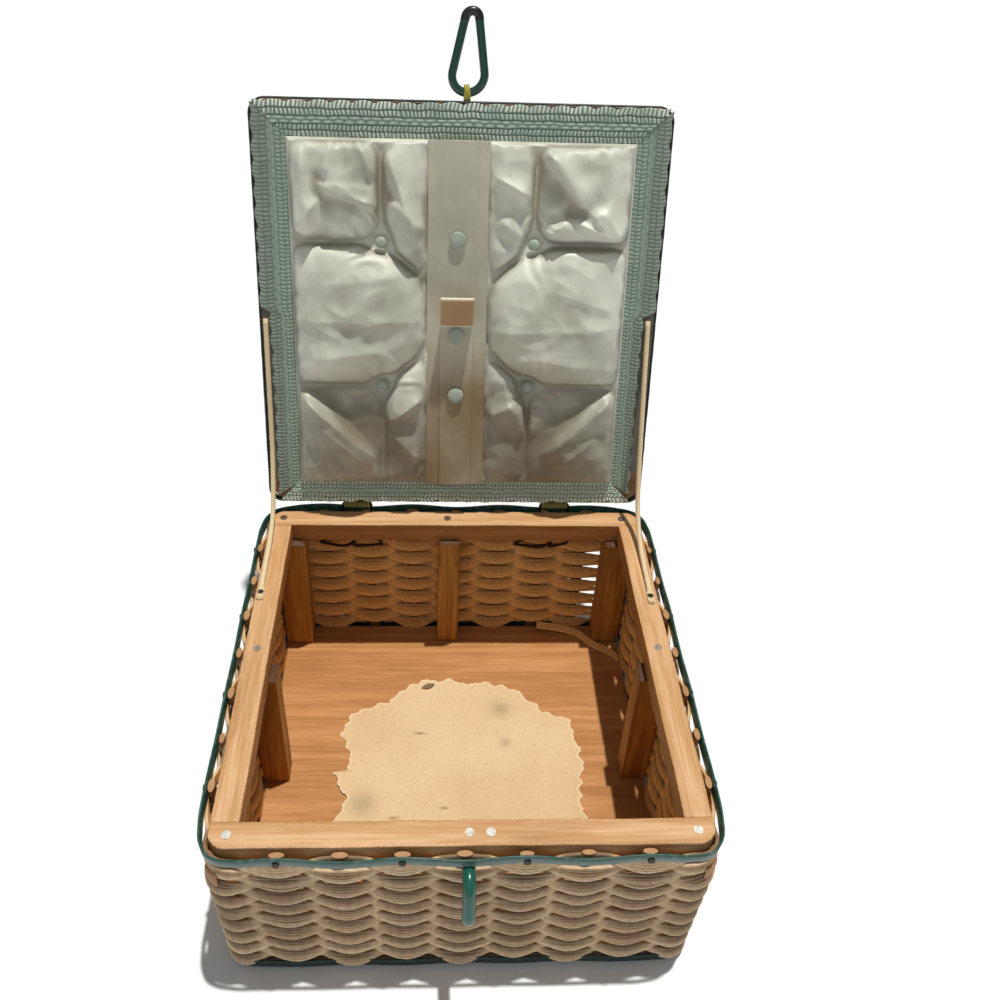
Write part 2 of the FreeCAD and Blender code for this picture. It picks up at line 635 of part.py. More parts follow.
# Braid round the lid, mitred; the side braids step in below the stay cords
q = "braid_width"
p = "(braid_width - braid_step)"
stay_at = "(%s * %s)" % (LID_LENGTH, max(LEFT_LID_SHARES[0][0], RIGHT_LID_SHARES[0][0]))
step_in = "(%s - braid_step)" % w
BRAIDS = {
    "hinge_braid": [("-%s" % step_in, "0"), (step_in, "0"), ("%s - %s" % (w, q), p), ("-%s + %s" % (w, q), p)],
    "front_braid": [("-%s + %s" % (w, q), "%s - %s" % (l, q)), ("%s - %s" % (w, q), "%s - %s" % (l, q)),
                    (w + " - edge_round", l + " - edge_round"), ("-%s + edge_round" % w, l + " - edge_round")],
    "left_braid": [("-%s" % step_in, "0"), ("-%s + %s" % (w, q), p), ("-%s + %s" % (w, q), "%s - %s" % (l, q)),
                   ("-%s + edge_round" % w, l + " - edge_round"), ("-%s + edge_round" % w, stay_at + " + cord_diameter"),
                   ("-%s" % step_in, stay_at + " + cord_diameter")],
    "right_braid": [("%s - %s" % (w, q), p), (step_in, "0"), (step_in, stay_at + " + cord_diameter"),
                    (w + " - edge_round", stay_at + " + cord_diameter"), (w + " - edge_round", l + " - edge_round"),
                    ("%s - %s" % (w, q), "%s - %s" % (l, q))],
}
for label, outline in BRAIDS.items():
    on_lid(node(plate(label, outline, "braid_thickness"), label), "0", INSET, "0")

# Satin lining: a slab with crowned pads parted by pleats that meet at the tufts
half_x = lid_width / 2 - D["strip_thickness"] - D["card_gap"] - D["braid_width"] - D["card_gap"]
low_s = D["strip_thickness"] + D["card_gap"] + D["braid_width"] - D["braid_step"] + D["card_gap"]
high_s = lid_length - D["strip_thickness"] - D["card_gap"] - D["braid_width"] - D["card_gap"]
lining = Part.makeBox(2 * half_x, high_s - low_s, D["lining_base"], V(-half_x, low_s, 0))
gap = D["channel_width"]
sunk = D["lining_base"] - D["lining_edge"]


def pad(rows, crown):
    """A crowned pad lofted along the lid; each row gives its place, both its sides and its share of the crown."""
    sections = []
    for s, a, b, share in rows:
        edge = D["lining_base"] + D["lining_edge"]
        peak = edge + crown * share
        corners = [V(a, s, sunk), V(b, s, sunk), V(b, s, edge), V(a, s, edge)]
        lines = [Part.LineSegment(corners[0], corners[1]), Part.LineSegment(corners[1], corners[2]),
                 Part.Arc(corners[2], V((a + b) / 2, s, peak), corners[3]), Part.LineSegment(corners[3], corners[0])]
        sections.append(Part.Wire([line.toShape() for line in lines]))
    return Part.makeLoft(sections, True, True)


CROWN_SHARES = (0.12, 0.62, 0.9, 1.0, 0.9, 0.62, 0.12)
SMALL_CROWN_SHARE = 0.7
pads = []
for side in (-1, 1):
    middle = D["ribbon_shift"]
    ribbon_edge = middle + side * (D["ribbon_width"] / 2 + gap / 2)
    tuft_x = middle + side * D["tuft_offset"]
    outer = side * (half_x - gap)
    low, high = D["tuft_low"] + gap / 2, D["tuft_high"] - gap / 2
    rows = []
    for i, share in enumerate(CROWN_SHARES):
        s = low + (high - low) * i / (len(CROWN_SHARES) - 1)
        part = min(1, (s - low) / D["pleat_drop"], (high - s) / D["pleat_drop"])
        inner = tuft_x + (ribbon_edge - tuft_x) * part + side * gap / 2
        rows.append((s, min(outer, inner), max(outer, inner), share))
    pads.append(pad(rows, D["lining_crown"]))
    for first, last, slope in ((low_s + gap, D["tuft_low"] - gap / 2, 1), (D["tuft_high"] + gap / 2, high_s - gap, -1)):
        for a, b in ((outer, tuft_x + side * gap / 2), (tuft_x - side * gap / 2, ribbon_edge + side * gap / 2)):
            rows = [(first + (last - first) * i / (len(CROWN_SHARES) - 1), min(a, b), max(a, b), share)
                    for i, share in enumerate(CROWN_SHARES)]
            pads.append(pad(rows, D["lining_crown"] * SMALL_CROWN_SHARE))
lining = lining.fuse(pads).removeSplitter()
tuft_spots = [V(D["ribbon_shift"] + side * D["tuft_offset"], s, D["lining_base"])
              for side in (-1, 1) for s in (D["tuft_low"], D["tuft_high"])]
dimples = [Part.makeCylinder(D["tuft_diameter"] / 2 + D["card_gap"], D["lining_crown"] * 2, p) for p in tuft_spots]
lining = lining.cut(dimples)
feature("satin_lining", lining.Solids[0], lid_place)


def dome(diameter, height, place):
    """A covered button: a low dome on a short side."""
    radius = diameter / 2
    side = height / 3
    rise = height - side
    ball = (radius ** 2 + rise ** 2) / (2 * rise)
    turn = math.asin(radius / ball) / 2
    middle = V(ball * math.sin(turn), 0, height - ball + ball * math.cos(turn))
    outline = Part.Wire([Part.LineSegment(V(), V(radius, 0, 0)).toShape(),
                         Part.LineSegment(V(radius, 0, 0), V(radius, 0, side)).toShape(),
                         Part.Arc(V(radius, 0, side), middle, V(0, 0, height)).toShape(),
                         Part.LineSegment(V(0, 0, height), V()).toShape()])
    shape = Part.Face(outline).revolve(V(), V(0, 0, 1), 360)
    shape.translate(place)
    return shape


feature("tuft_buttons", Part.makeCompound([
    dome(D["tuft_diameter"], D["tuft_height"], p) for p in tuft_spots]), lid_place)

# Ribbon, tool strap, snap buttons and the strap's free tab
ribbon = block("ribbon_band", ("ribbon_width", "%s - 2 * %s - 2 * braid_width + braid_step - 2 * card_gap"
                               % (LID_LENGTH, INSET), "ribbon_thickness"))
start = "%s + braid_width - braid_step + card_gap" % INSET
on_lid(node(ribbon, "ribbon_band"), "ribbon_shift - ribbon_width / 2", start, "lining_base")
strap = block("tool_strap", ("strap_width", "strap_crease - tab_root_gap - (%s)" % start, "strap_thickness"))
on_lid(node(strap, "tool_strap"), "ribbon_shift - strap_width / 2", start, "lining_base + ribbon_thickness")
tab = doc.addObject("Part::Box", "strap_tab")
bind(tab, {"Length": "strap_width", "Width": "tab_length - tab_root_gap", "Height": "strap_thickness"})
turn_s = "cos(tab_angle * 1 deg)"
turn_n = "sin(tab_angle * 1 deg)"
tab_along = "strap_crease + tab_root_gap * %s + strap_thickness / 2 * %s" % (turn_s, turn_n)
tab_out = "lining_base + ribbon_thickness + strap_thickness / 2 + tab_root_gap * %s - strap_thickness / 2 * %s" % (
    turn_n, turn_s)
on_lid(node(tab, "strap_tab"), "ribbon_shift - strap_width / 2", "(%s)" % tab_along, "(%s)" % tab_out, "tab_angle")
on_ribbon = D["lining_base"] + D["ribbon_thickness"]
levels = (on_ribbon, on_ribbon + D["strap_thickness"], on_ribbon + D["strap_thickness"])
feature("snap_buttons", Part.makeCompound([
    dome(D["snap_diameter"], D["snap_height"], V(D["ribbon_shift"], lid_length * share, level))
    for share, level in zip(SNAP_SHARES, levels)]), lid_place)

# Clasp loop, its end ferrule and the thread that ties it to the lid
loop_axis = lid_length + D["loop_tube"] / 2 + D["thread_gap"] + D["thread"] + D["snug_gap"]
big = (D["loop_width"] - D["loop_tube"]) / 2
tip = (D["loop_tip_width"] - D["loop_tube"]) / 2
end = D["loop_length"] - D["loop_tube"] / 2
swell = math.asin((big - tip) / (end - tip - big))


def loop_point(radius, centre, angle):
    return V(radius * math.cos(angle), centre + radius * math.sin(angle), 0)


quarter = math.pi / 2
half_edges = [Part.Arc(loop_point(big, big, -quarter), loop_point(big, big, (swell - quarter) / 2),
                       loop_point(big, big, swell)),
              Part.LineSegment(loop_point(big, big, swell), loop_point(tip, end - tip, swell)),
              Part.Arc(loop_point(tip, end - tip, swell), loop_point(tip, end - tip, (swell + quarter) / 2),
                       loop_point(tip, end - tip, quarter))]
right_half = tube(Part.Wire([e.toShape() for e in half_edges]), D["loop_tube"])
left_half = right_half.mirror(V(), V(1, 0, 0))
loop = right_half.fuse(left_half).removeSplitter()
loop_base = V(D["clasp_place"], loop_axis, -D["loop_depth"])
loop_place = lid_place.multiply(FreeCAD.Placement(loop_base, FreeCAD.Rotation()))
feature("clasp_loop", loop, loop_place)
thread_mean = D["loop_tube"] / 2 + D["thread_gap"] + D["thread"] / 2
thread = winding("clasp_thread", 0, thread_mean, D["thread"], D["thread_pitch"], int(D["thread_turns"]),
                 loop_axis - lid_length)
feature("clasp_thread", thread, loop_place)

# Stay cords from the lid's sides to the tacks on the side rails
for label, side, lid_shares, rail_shares, spot in (
        ("left", -1, LEFT_LID_SHARES, LEFT_RAIL_SHARES, stay_spots[0]),
        ("right", 1, RIGHT_LID_SHARES, RIGHT_RAIL_SHARES, stay_spots[1])):
    x = spot.x
    route = [lid_place.multVec(V(x, lid_length * s, D["cord_diameter"] * out)) for s, out in lid_shares]
    route += [V(x, D["rim_depth"] * y, D["rim_height"] + D["cord_diameter"] * up) for y, up in rail_shares]
    radii = []

    def ease(i, half):
        shorter = min((route[i] - route[i - 1]).Length, (route[i + 1] - route[i]).Length)
        radii.append(0.45 * shorter / math.tan(half))
        return radii[-1]

    path = bent(route, ease)
    cord = tube(path, D["cord_diameter"])
    feature(label + "_stay_cord", cord)
    section = math.pi * D["cord_diameter"] ** 2 / 4
    print(label, "cord length", round(path.Length, 2), "radii", [round(r, 1) for r in radii],
          "volume share", round(cord.Volume / (section * path.Length), 4))
    print(label, "route", [tuple(round(c, 2) for c in p) for p in route])

# Check and write every sub-part
doc.recompute()
for item in doc.Objects:
    if any(flag in ("Invalid", "Error") for flag in item.State):
        raise RuntimeError("%s is in error" % item.Label)
os.makedirs("parts", exist_ok=True)
for item in NODES:
    shape = item.Shape
    if shape.isNull() or not shape.isValid() or not shape.Solids:
        raise RuntimeError("%s has no valid solid" % item.Label)
    if min(solid.Volume for solid in shape.Solids) <= 0:
        raise RuntimeError("%s is inside out" % item.Label)
    shape.exportStep("parts/%s.step" % item.Label)
print(len(NODES), "sub-parts written")
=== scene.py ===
"""Wicker sewing basket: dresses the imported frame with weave, wood, satin and braid."""

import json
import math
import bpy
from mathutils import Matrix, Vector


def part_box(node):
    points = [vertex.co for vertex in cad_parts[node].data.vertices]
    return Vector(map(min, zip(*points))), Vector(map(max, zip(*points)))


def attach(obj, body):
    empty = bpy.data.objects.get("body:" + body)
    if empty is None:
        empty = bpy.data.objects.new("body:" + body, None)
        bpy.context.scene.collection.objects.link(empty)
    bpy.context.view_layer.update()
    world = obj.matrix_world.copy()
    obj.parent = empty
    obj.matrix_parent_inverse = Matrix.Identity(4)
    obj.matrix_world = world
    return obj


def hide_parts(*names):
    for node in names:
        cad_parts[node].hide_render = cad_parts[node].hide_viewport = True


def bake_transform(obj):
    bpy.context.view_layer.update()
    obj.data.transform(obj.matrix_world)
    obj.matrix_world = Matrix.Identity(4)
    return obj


bl_info = {
    "name": "Wicker Sewing Basket",
    "version": (1, 0, 0),
    "blender": (4, 5, 0),
    "location": "View3D > Sidebar > Basket",
    "description": "Builds the looks of a lidded wicker sewing basket around its packed frame",
    "category": "Object",
}

import bpy
import numpy as np
from mathutils import Matrix

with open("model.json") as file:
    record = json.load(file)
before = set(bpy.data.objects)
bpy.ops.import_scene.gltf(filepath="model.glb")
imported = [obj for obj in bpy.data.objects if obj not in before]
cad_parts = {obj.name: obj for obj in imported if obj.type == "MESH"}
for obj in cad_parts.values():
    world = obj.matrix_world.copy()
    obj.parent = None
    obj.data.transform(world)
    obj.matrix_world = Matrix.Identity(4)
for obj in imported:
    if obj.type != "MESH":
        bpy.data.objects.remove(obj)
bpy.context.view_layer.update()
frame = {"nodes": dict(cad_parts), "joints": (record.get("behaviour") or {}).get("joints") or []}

MM = 0.001
PI = math.pi

# Frame sizes in millimetres
RIM_HALF = (120.0, 122.0)
RIM_HEIGHT = 109.0
RAIL_UNDERSIDE = 96.0
REED_OUT = 3.0
WALL_LEAN = 4.5
REED_PITCH = 29.0
REEDS_EACH_WAY = 3
REED_ENDS = (0.8, 107.6)
CORNER_ROUND = (11.0, 12.0)
CORNER_RISE = 60.0
RAIL_ROUND = 9.0
LID_LEAN = math.radians(15.5)
LID_ROOT = (2.6, 2.4)
LID_LENGTH = 245.9
LID_HALF = 121.0
LID_ROUND = 9.0
RIBBON_SIDES = (-20.0, 16.0)
TUFTS_X = (-47.0, 43.0)
TUFTS_S = (80.5, 167.5)
CLASP_X = 2.0
HINGE = np.array(frame["joints"][0]["pos_m"]) / MM
LID_ALONG = np.array([0.0, math.sin(LID_LEAN), math.cos(LID_LEAN)])
LID_FACE = np.array([0.0, -math.cos(LID_LEAN), math.sin(LID_LEAN)])
ACROSS = np.array([1.0, 0.0, 0.0])
UP = np.array([0.0, 0.0, 1.0])


# Numbers and noise

def tint(code):
    """Linear colour of a six-digit sRGB code."""
    rgb = [int(code[i:i + 2], 16) / 255 for i in (0, 2, 4)]
    return tuple(c / 12.92 if c <= 0.04045 else ((c + 0.055) / 1.055) ** 2.4 for c in rgb)


def unit(v):
    """Vectors divided by their lengths."""
    return v / np.maximum(np.linalg.norm(v, axis=-1, keepdims=True), 1e-9)


def ease(x, a, b):
    """Smooth step: 0 before a, 1 after b, 3t^2 - 2t^3 between."""
    t = np.clip((x - a) / (b - a), 0, 1)
    return t * t * (3 - 2 * t)


def ripple(seed, scale, *coords):
    """Smooth noise of about unit size: the sum of twelve sines of random direction and phase."""
    rng = np.random.default_rng(seed)
    total = 0.0
    for _ in range(12):
        way = rng.normal(size=len(coords)) * 2.2 / scale
        total = total + np.sin(sum(w * c for w, c in zip(way, coords)) + rng.uniform(0, 2 * PI))
    return total / math.sqrt(6)


def lid_point(x, s, n):
    """Lid place to basket place: the hinge, x across, s + gap up the lid, n + pin depth out of its face."""
    x, s, n = np.broadcast_arrays(np.asarray(x, float), s, n)
    return (HINGE + x[..., None] * ACROSS + (s + LID_ROOT[0])[..., None] * LID_ALONG
            + (n + LID_ROOT[1])[..., None] * LID_FACE)


def rim_line(tau, side, z, out):
    """Point of the outline with round corners: tau counts reeds along a side, out is beyond the reeds.

    One count past the last reed is the middle of the corner, where the next side takes over.
    """
    tau, z, out = np.broadcast_arrays(np.asarray(tau, float), z, out)
    reeds = np.abs(tau)
    lean = REED_OUT - WALL_LEAN * (1 - z / RIM_HEIGHT)
    along = RIM_HALF[side % 2] + lean
    across = RIM_HALF[1 - side % 2] + lean
    fan = across / (RIM_HALF[1 - side % 2] + REED_OUT)
    last = REEDS_EACH_WAY * REED_PITCH * fan
    bend = CORNER_ROUND[0] + (CORNER_ROUND[1] - CORNER_ROUND[0]) * ease(z, 0.0, CORNER_RISE)
    straight = along - bend - last
    walk = (reeds - REEDS_EACH_WAY) * (straight + bend * PI / 4)
    turn = np.clip((walk - straight) / bend, 0, None)
    x = np.where(reeds <= REEDS_EACH_WAY, reeds * REED_PITCH * fan, last + np.minimum(walk, straight))
    x = np.sign(tau) * (x + (bend + out) * np.sin(turn))
    y = across - bend + (bend + out) * np.cos(turn)
    front, right, back, left = (x, -y, z), (y, x, z), (-x, y, z), (-y, -x, z)
    return np.stack((front, right, back, left)[side], -1)


def round_oblong(half_x, low, high, radius, step):
    """Closed line of four runs and four quarter arcs, with its outward directions."""
    def arc_middle(x, y):
        return np.array([x - math.copysign(radius, x), y + (radius if y == low else -radius)])

    points, ways = [], []
    corners = ((half_x, low, -PI / 2), (half_x, high, 0), (-half_x, high, PI / 2), (-half_x, low, PI))
    for (x, y, start), (x2, y2, _) in zip(corners, corners[1:] + corners[:1]):
        angle = start + np.linspace(0, PI / 2, 9)
        way = np.stack([np.cos(angle), np.sin(angle)], -1)
        points.append(arc_middle(x, y) + radius * way)
        ways.append(way)
        after = arc_middle(x2, y2) + radius * way[-1]
        count = max(2, int(np.linalg.norm(after - points[-1][-1]) / step))
        share = np.linspace(0, 1, count + 1)[1:-1, None]
        points.append(points[-1][-1] * (1 - share) + after * share)
        ways.append(np.repeat(way[-1:], len(share), 0))
    return np.concatenate(points), np.concatenate(ways)


# Surfaces

class Shell:
    """Grids of points gathered into one mesh."""

    def __init__(self):
        self.points, self.loops, self.totals, self.uvs, self.count = [], [], [], [], 0
        self.marks = {}

    def grid(self, p, uv=None, round_u=False, round_v=False, caps=False, closed=False, **marks):
        """Add surfaces p[batch, u, v, xyz]: quads between neighbours, end rows closed by caps.

        Faces of a closed surface are turned outwards, by the sign of its volume; marks are values at points.
        """
        p = np.asarray(p, float)
        if p.ndim == 3:
            p = p[None]
        batch, nu, nv = p.shape[:3]
        ids = np.arange(batch * nu * nv).reshape(batch, nu, nv)
        wide = np.concatenate([ids, ids[:, :1]], 1) if round_u else ids
        wide = np.concatenate([wide, wide[:, :, :1]], 2) if round_v else wide
        quads = np.stack([wide[:, :-1, :-1], wide[:, 1:, :-1], wide[:, 1:, 1:], wide[:, :-1, 1:]], -1)
        rows, columns = wide.shape[1:]
        if uv is None:
            shares = np.meshgrid(np.linspace(0, 1, rows), np.linspace(0, 1, columns), indexing="ij")
            uv = np.stack(shares, -1)
        uv = np.broadcast_to(uv, (batch, rows, columns, 2))
        quad_uv = np.stack([uv[:, :-1, :-1], uv[:, 1:, :-1], uv[:, 1:, 1:], uv[:, :-1, 1:]], -2)
        flip = False
        if closed:
            sample = p[0].reshape(-1, 3)
            corners = (sample - sample.mean(0))[quads[0].reshape(-1, 4)]
            one, two, three, four = np.moveaxis(corners, 1, 0)
            volume = np.sum(one * np.cross(two, three)) + np.sum(one * np.cross(three, four))
            flip = volume < 0
        faces = [(quads.reshape(-1, 4), quad_uv.reshape(-1, 4, 2))]
        if caps:
            first, last = ids[:, 0, :], ids[:, -1, ::-1]
            for ring, row in ((first, uv[:, 0, :nv]), (last, uv[:, -1, :nv][:, ::-1])):
                faces.append((ring, row))
        for ring, ring_uv in faces:
            if flip:
                ring, ring_uv = ring[:, ::-1], ring_uv[:, ::-1]
            self.loops.append(ring.reshape(-1) + self.count)
            self.totals.append(np.full(len(ring), ring.shape[1]))
            self.uvs.append(ring_uv.reshape(-1, 2))
        for name, mark in marks.items():
            values = np.broadcast_to(np.asarray(mark, float), (batch, nu, nv)).reshape(-1)
            self.marks.setdefault(name, []).append((self.count, values))
        self.points.append(p.reshape(-1, 3))
        self.count += batch * nu * nv
        return self

    def rod(self, path, radius, sides, up, loop=False, flat=1.0, **marks):
        """Add round rods along paths, closed at their ends or into loops."""
        return self.grid(tube(path, radius, sides, up, loop, flat), cord_uv(path, sides, loop), round_u=loop,
                         round_v=True, caps=not loop, closed=True, **marks)

    def hoop(self, path, section, **marks):
        """Add a strip that runs in a closed ring."""
        return self.grid(section, cord_uv(path, section.shape[1], True), round_u=True, round_v=True,
                         closed=True, **marks)

    def cloth(self, top, under, uv=None, **marks):
        """Add a thin closed sheet; marks given for its top are wrapped like it."""
        marks = {name: wrapped(mark, mark) for name, mark in marks.items()}
        return self.grid(wrapped(top, under), uv, round_v=True, caps=True, closed=True, **marks)

    def build(self, name, material, sharp=None):
        """The mesh object in metres, smooth-shaded, with its UV map and its marks as attributes."""
        mesh = bpy.data.meshes.new(name)
        loops = np.concatenate(self.loops)
        totals = np.concatenate(self.totals)
        mesh.vertices.add(self.count)
        mesh.vertices.foreach_set("co", (np.concatenate(self.points) * MM).ravel().astype(np.float32))
        mesh.loops.add(len(loops))
        mesh.loops.foreach_set("vertex_index", loops.astype(np.int32))
        mesh.polygons.add(len(totals))
        mesh.polygons.foreach_set("loop_start", (np.cumsum(totals) - totals).astype(np.int32))
        mesh.update(calc_edges=True)
        uvs = np.concatenate(self.uvs).ravel().astype(np.float32)
        mesh.uv_layers.new(name="lie").uv.foreach_set("vector", uvs)
        for mark, parts in self.marks.items():
            values = np.zeros(self.count, np.float32)
            for start, part in parts:
                values[start:start + len(part)] = part
            mesh.attributes.new(mark, "FLOAT", "POINT").data.foreach_set("value", values)
        mesh.shade_smooth()
        if sharp:
            mesh.set_sharp_from_angle(angle=math.radians(sharp))
        mesh.validate()
        mesh.materials.append(material)
        piece = bpy.data.objects.new(name, mesh)
        bpy.context.scene.collection.objects.link(piece)
        return piece


def tube(path, radius, sides, up, loop=False, flat=1.0):
    """Round profile carried along paths[batch, s, xyz]: centre + r cos(a) sideways + r sin(a) upwards."""
    path = path[None] if path.ndim == 2 else path
    if loop:
        way = np.roll(path, -1, 1) - np.roll(path, 1, 1)
    else:
        way = np.gradient(path, axis=1)
    way = unit(way)
    side = unit(np.cross(way, np.broadcast_to(up, way.shape)))
    top = np.cross(side, way)
    angle = 2 * PI * np.arange(sides) / sides
    radius = np.broadcast_to(radius, path.shape[:2])[..., None, None]
    return (path[:, :, None] + radius * (np.cos(angle)[:, None] * side[:, :, None]
                                         + flat * np.sin(angle)[:, None] * top[:, :, None]))


def along(path, loop=False):
    """Distance along each path[batch, s, xyz], with the closing run added for a loop."""
    ends = np.concatenate([path, path[:, :1]], 1) if loop else path
    steps = np.linalg.norm(np.diff(ends, axis=1), axis=-1)
    return np.concatenate([np.zeros_like(steps[:, :1]), np.cumsum(steps, 1)], 1)


def cord_uv(path, sides, loop=False):
    """UV of a tube: millimetres along it, and turns round it."""
    run = along(path[None] if path.ndim == 2 else path, loop)
    return np.stack(np.broadcast_arrays(run[:, :, None], np.linspace(0, 1, sides + 1)), -1)


# Painted grey highlight, broken up by scuffs, at each point of a strip's section, strongest at its lower
# outer edge
STRIP_LOW = np.array([0, 0, 0, 0, 0, 0, 0.35, 0.9, 0.8, 0.5, 0.2, 0.0])


def band(path, out, up, thick, wide, bulge=0.0):
    """Flat strip carried along a path: a rounded rectangle, thick along out and wide along up."""
    t = np.array([-.5, -.5, -.35, 0, .35, .5, .5, .5, .35, 0, -.35, -.5])
    w = np.array([0, .42, .5, .5, .5, .42, 0, -.42, -.5, -.5, -.5, -.42])
    swell = bulge * (1 - (2 * w) ** 2) * (t > 0.4)
    return path[:, None] + (t * thick + swell)[:, None] * out[:, None] + (w * wide)[:, None] * up[:, None]


def wrapped(top, under):
    """Closed rows of a thin sheet: the top's columns, then the two edge columns of its underside."""
    return np.concatenate([top, under[:, -1:], under[:, :1]], 1)


def wrapped_uv(u, v):
    """UV of a wrapped sheet: the underside repeats the edge columns."""
    lie = np.stack([u, v], -1)
    return np.concatenate([lie, lie[:, -1:], lie[:, :1], lie[:, :1]], 1)


def dress(piece, body, slot, *nodes):
    """Ride a piece on its body and let it stand for its frame nodes; its slot, the finish's name, is not
    used.
    """
    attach(piece, body)
    if nodes:
        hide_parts(*nodes)
    return piece


# Finishes

class Graph:
    """Wires shader nodes: sockets are linked, plain values are set on the input."""

    def __init__(self, tree):
        self.tree = tree

    def add(self, kind, feeds=None, **options):
        """Add a node, set its options and feed its inputs."""
        node = self.tree.nodes.new("ShaderNode" + kind)
        for key, value in options.items():
            setattr(node, key, value)
        for key, value in (feeds or {}).items():
            self.feed(node.inputs[key], value)
        return node

    def feed(self, socket, value):
        """Link a socket to an input, or set a plain value on it."""
        if isinstance(value, bpy.types.NodeSocket):
            self.tree.links.new(value, socket)
        elif socket.type == "RGBA":
            socket.default_value = (*value, 1)
        else:
            socket.default_value = value

    def place(self):
        """Place on the object, in metres."""
        return self.add("TexCoord").outputs["Object"]

    def uv(self):
        """Place on the UV map."""
        return self.add("UVMap", uv_map="lie").outputs["UV"]

    def mark(self, name):
        """Value of a mark that the mesh carries."""
        return self.add("Attribute", attribute_name=name).outputs["Fac"]

    def turned(self, vector, scale=(1, 1, 1), rotation=(0, 0, 0), location=(0, 0, 0)):
        """A vector scaled, turned and moved."""
        return self.add("Mapping", {"Vector": vector, "Scale": scale, "Rotation": rotation,
                                    "Location": location}).outputs[0]

    def noise(self, vector, scale, detail=3.0, rough=0.55):
        """Smooth noise from 0 to 1."""
        return self.add("TexNoise", {"Vector": vector, "Scale": scale, "Detail": detail,
                                     "Roughness": rough}).outputs["Fac"]

    def math(self, operation, a, b=0.0, c=0.0):
        """One arithmetic step."""
        return self.add("Math", {0: a, 1: b, 2: c}, operation=operation).outputs[0]

    def times(self, a, b):
        """Product of two values."""
        return self.math("MULTIPLY", a, b)

    def span(self, value, low, high, to_low=0.0, to_high=1.0):
        """One range mapped to another, held at its ends."""
        return self.add("MapRange", {"Value": value, "From Min": low, "From Max": high, "To Min": to_low,
                                     "To Max": to_high}).outputs[0]

    def mix(self, share, a, b, blend="MIX"):
        """Two colours mixed by a share."""
        return self.add("Mix", {0: share, 6: a, 7: b}, data_type="RGBA", blend_type=blend).outputs[2]

    def split(self, vector):
        """The three parts of a vector."""
        return self.add("SeparateXYZ", {0: vector}).outputs

    def join(self, x, y, z=0.0):
        """A vector of three parts."""
        return self.add("CombineXYZ", {0: x, 1: y, 2: z}).outputs[0]

    def bump(self, height, strength, distance):
        """A normal that follows a height."""
        return self.add("Bump", {"Height": height, "Strength": strength, "Distance": distance}).outputs[0]

    def use(self, effect, **feeds):
        """A group fed by socket names, with underscores for spaces."""
        node = self.add("Group", node_tree=effect)
        for key, value in feeds.items():
            self.feed(node.inputs[key.replace("_", " ")], value)
        return node.outputs


KINDS = {"v": "NodeSocketVector", "c": "NodeSocketColor", "f": "NodeSocketFloat"}


def effect(name, takes, gives, wire):
    """A shader node group made once: takes and gives map socket names to v, c or f."""
    group = bpy.data.node_groups.get(name)
    if group:
        return group
    group = bpy.data.node_groups.new(name, "ShaderNodeTree")
    for key, kind in takes.items():
        group.interface.new_socket(key, in_out="INPUT", socket_type=KINDS[kind])
    for key, kind in gives.items():
        group.interface.new_socket(key, in_out="OUTPUT", socket_type=KINDS[kind])
    start, end = group.nodes.new("NodeGroupInput"), group.nodes.new("NodeGroupOutput")
    for key, socket in wire(Graph(group), start.outputs).items():
        group.links.new(socket, end.inputs[key])
    return group


def finish(name, wire):
    """A material made once: wire returns what feeds the Principled shader's inputs."""
    material = bpy.data.materials.get(name)
    if material:
        return material
    material = bpy.data.materials.new(name)
    material.use_nodes = True
    g = Graph(material.node_tree)
    shader = material.node_tree.nodes["Principled BSDF"]
    for key, value in wire(g).items():
        g.feed(shader.inputs[key], value)
    return material


def grain():
    """Sawn wood: growth lines are a wavy distance field stretched along x, pores are short streaks."""
    def wire(g, i):
        drift = g.noise(g.turned(i["Vector"], (0.05, 1.0, 1.0)), 45.0, 1.0, 0.5)
        rings = g.span(g.math("SINE", g.times(drift, i["Rings"])), -1.0, 1.0)
        streak = g.noise(g.turned(i["Vector"], (0.045, 1.0, 1.0)), 620.0, 2.0, 0.7)
        blotch = g.noise(g.turned(i["Vector"], (0.4, 1.0, 1.0)), 28.0, 2.0, 0.6)
        tone = g.math("MULTIPLY_ADD", rings, 0.22, g.times(streak, 0.9))
        colour = g.mix(g.span(tone, 0.38, 0.72), i["Light"], i["Dark"])
        colour = g.mix(g.span(blotch, 0.55, 0.85, 0.0, 0.35), colour, i["Stain"])
        return {"Colour": colour, "Height": tone, "Blotch": blotch}
    return effect("Sawn grain", {"Vector": "v", "Light": "c", "Dark": "c", "Stain": "c", "Rings": "f"},
                  {"Colour": "c", "Height": "f", "Blotch": "f"}, wire)


def plies():
    """Twisted cord from UV: strands are a sine of millimetres along plus turns round."""
    def wire(g, i):
        x, y, _ = g.split(i["UV"])
        lay = g.math("MULTIPLY_ADD", y, i["Strands"], g.math("DIVIDE", x, i["Pitch"]))
        height = g.math("ABSOLUTE", g.math("SINE", g.times(lay, PI)))
        fuzz = g.noise(g.join(g.times(x, 0.6), g.times(y, 9.0)), 2.0, 4.0, 0.65)
        return {"Height": g.math("MULTIPLY_ADD", fuzz, 0.6, height), "Groove": g.span(height, 0.0, 0.55),
                "Fuzz": fuzz}
    return effect("Laid strands", {"UV": "v", "Strands": "f", "Pitch": "f"},
                  {"Height": "f", "Groove": "f", "Fuzz": "f"}, wire)


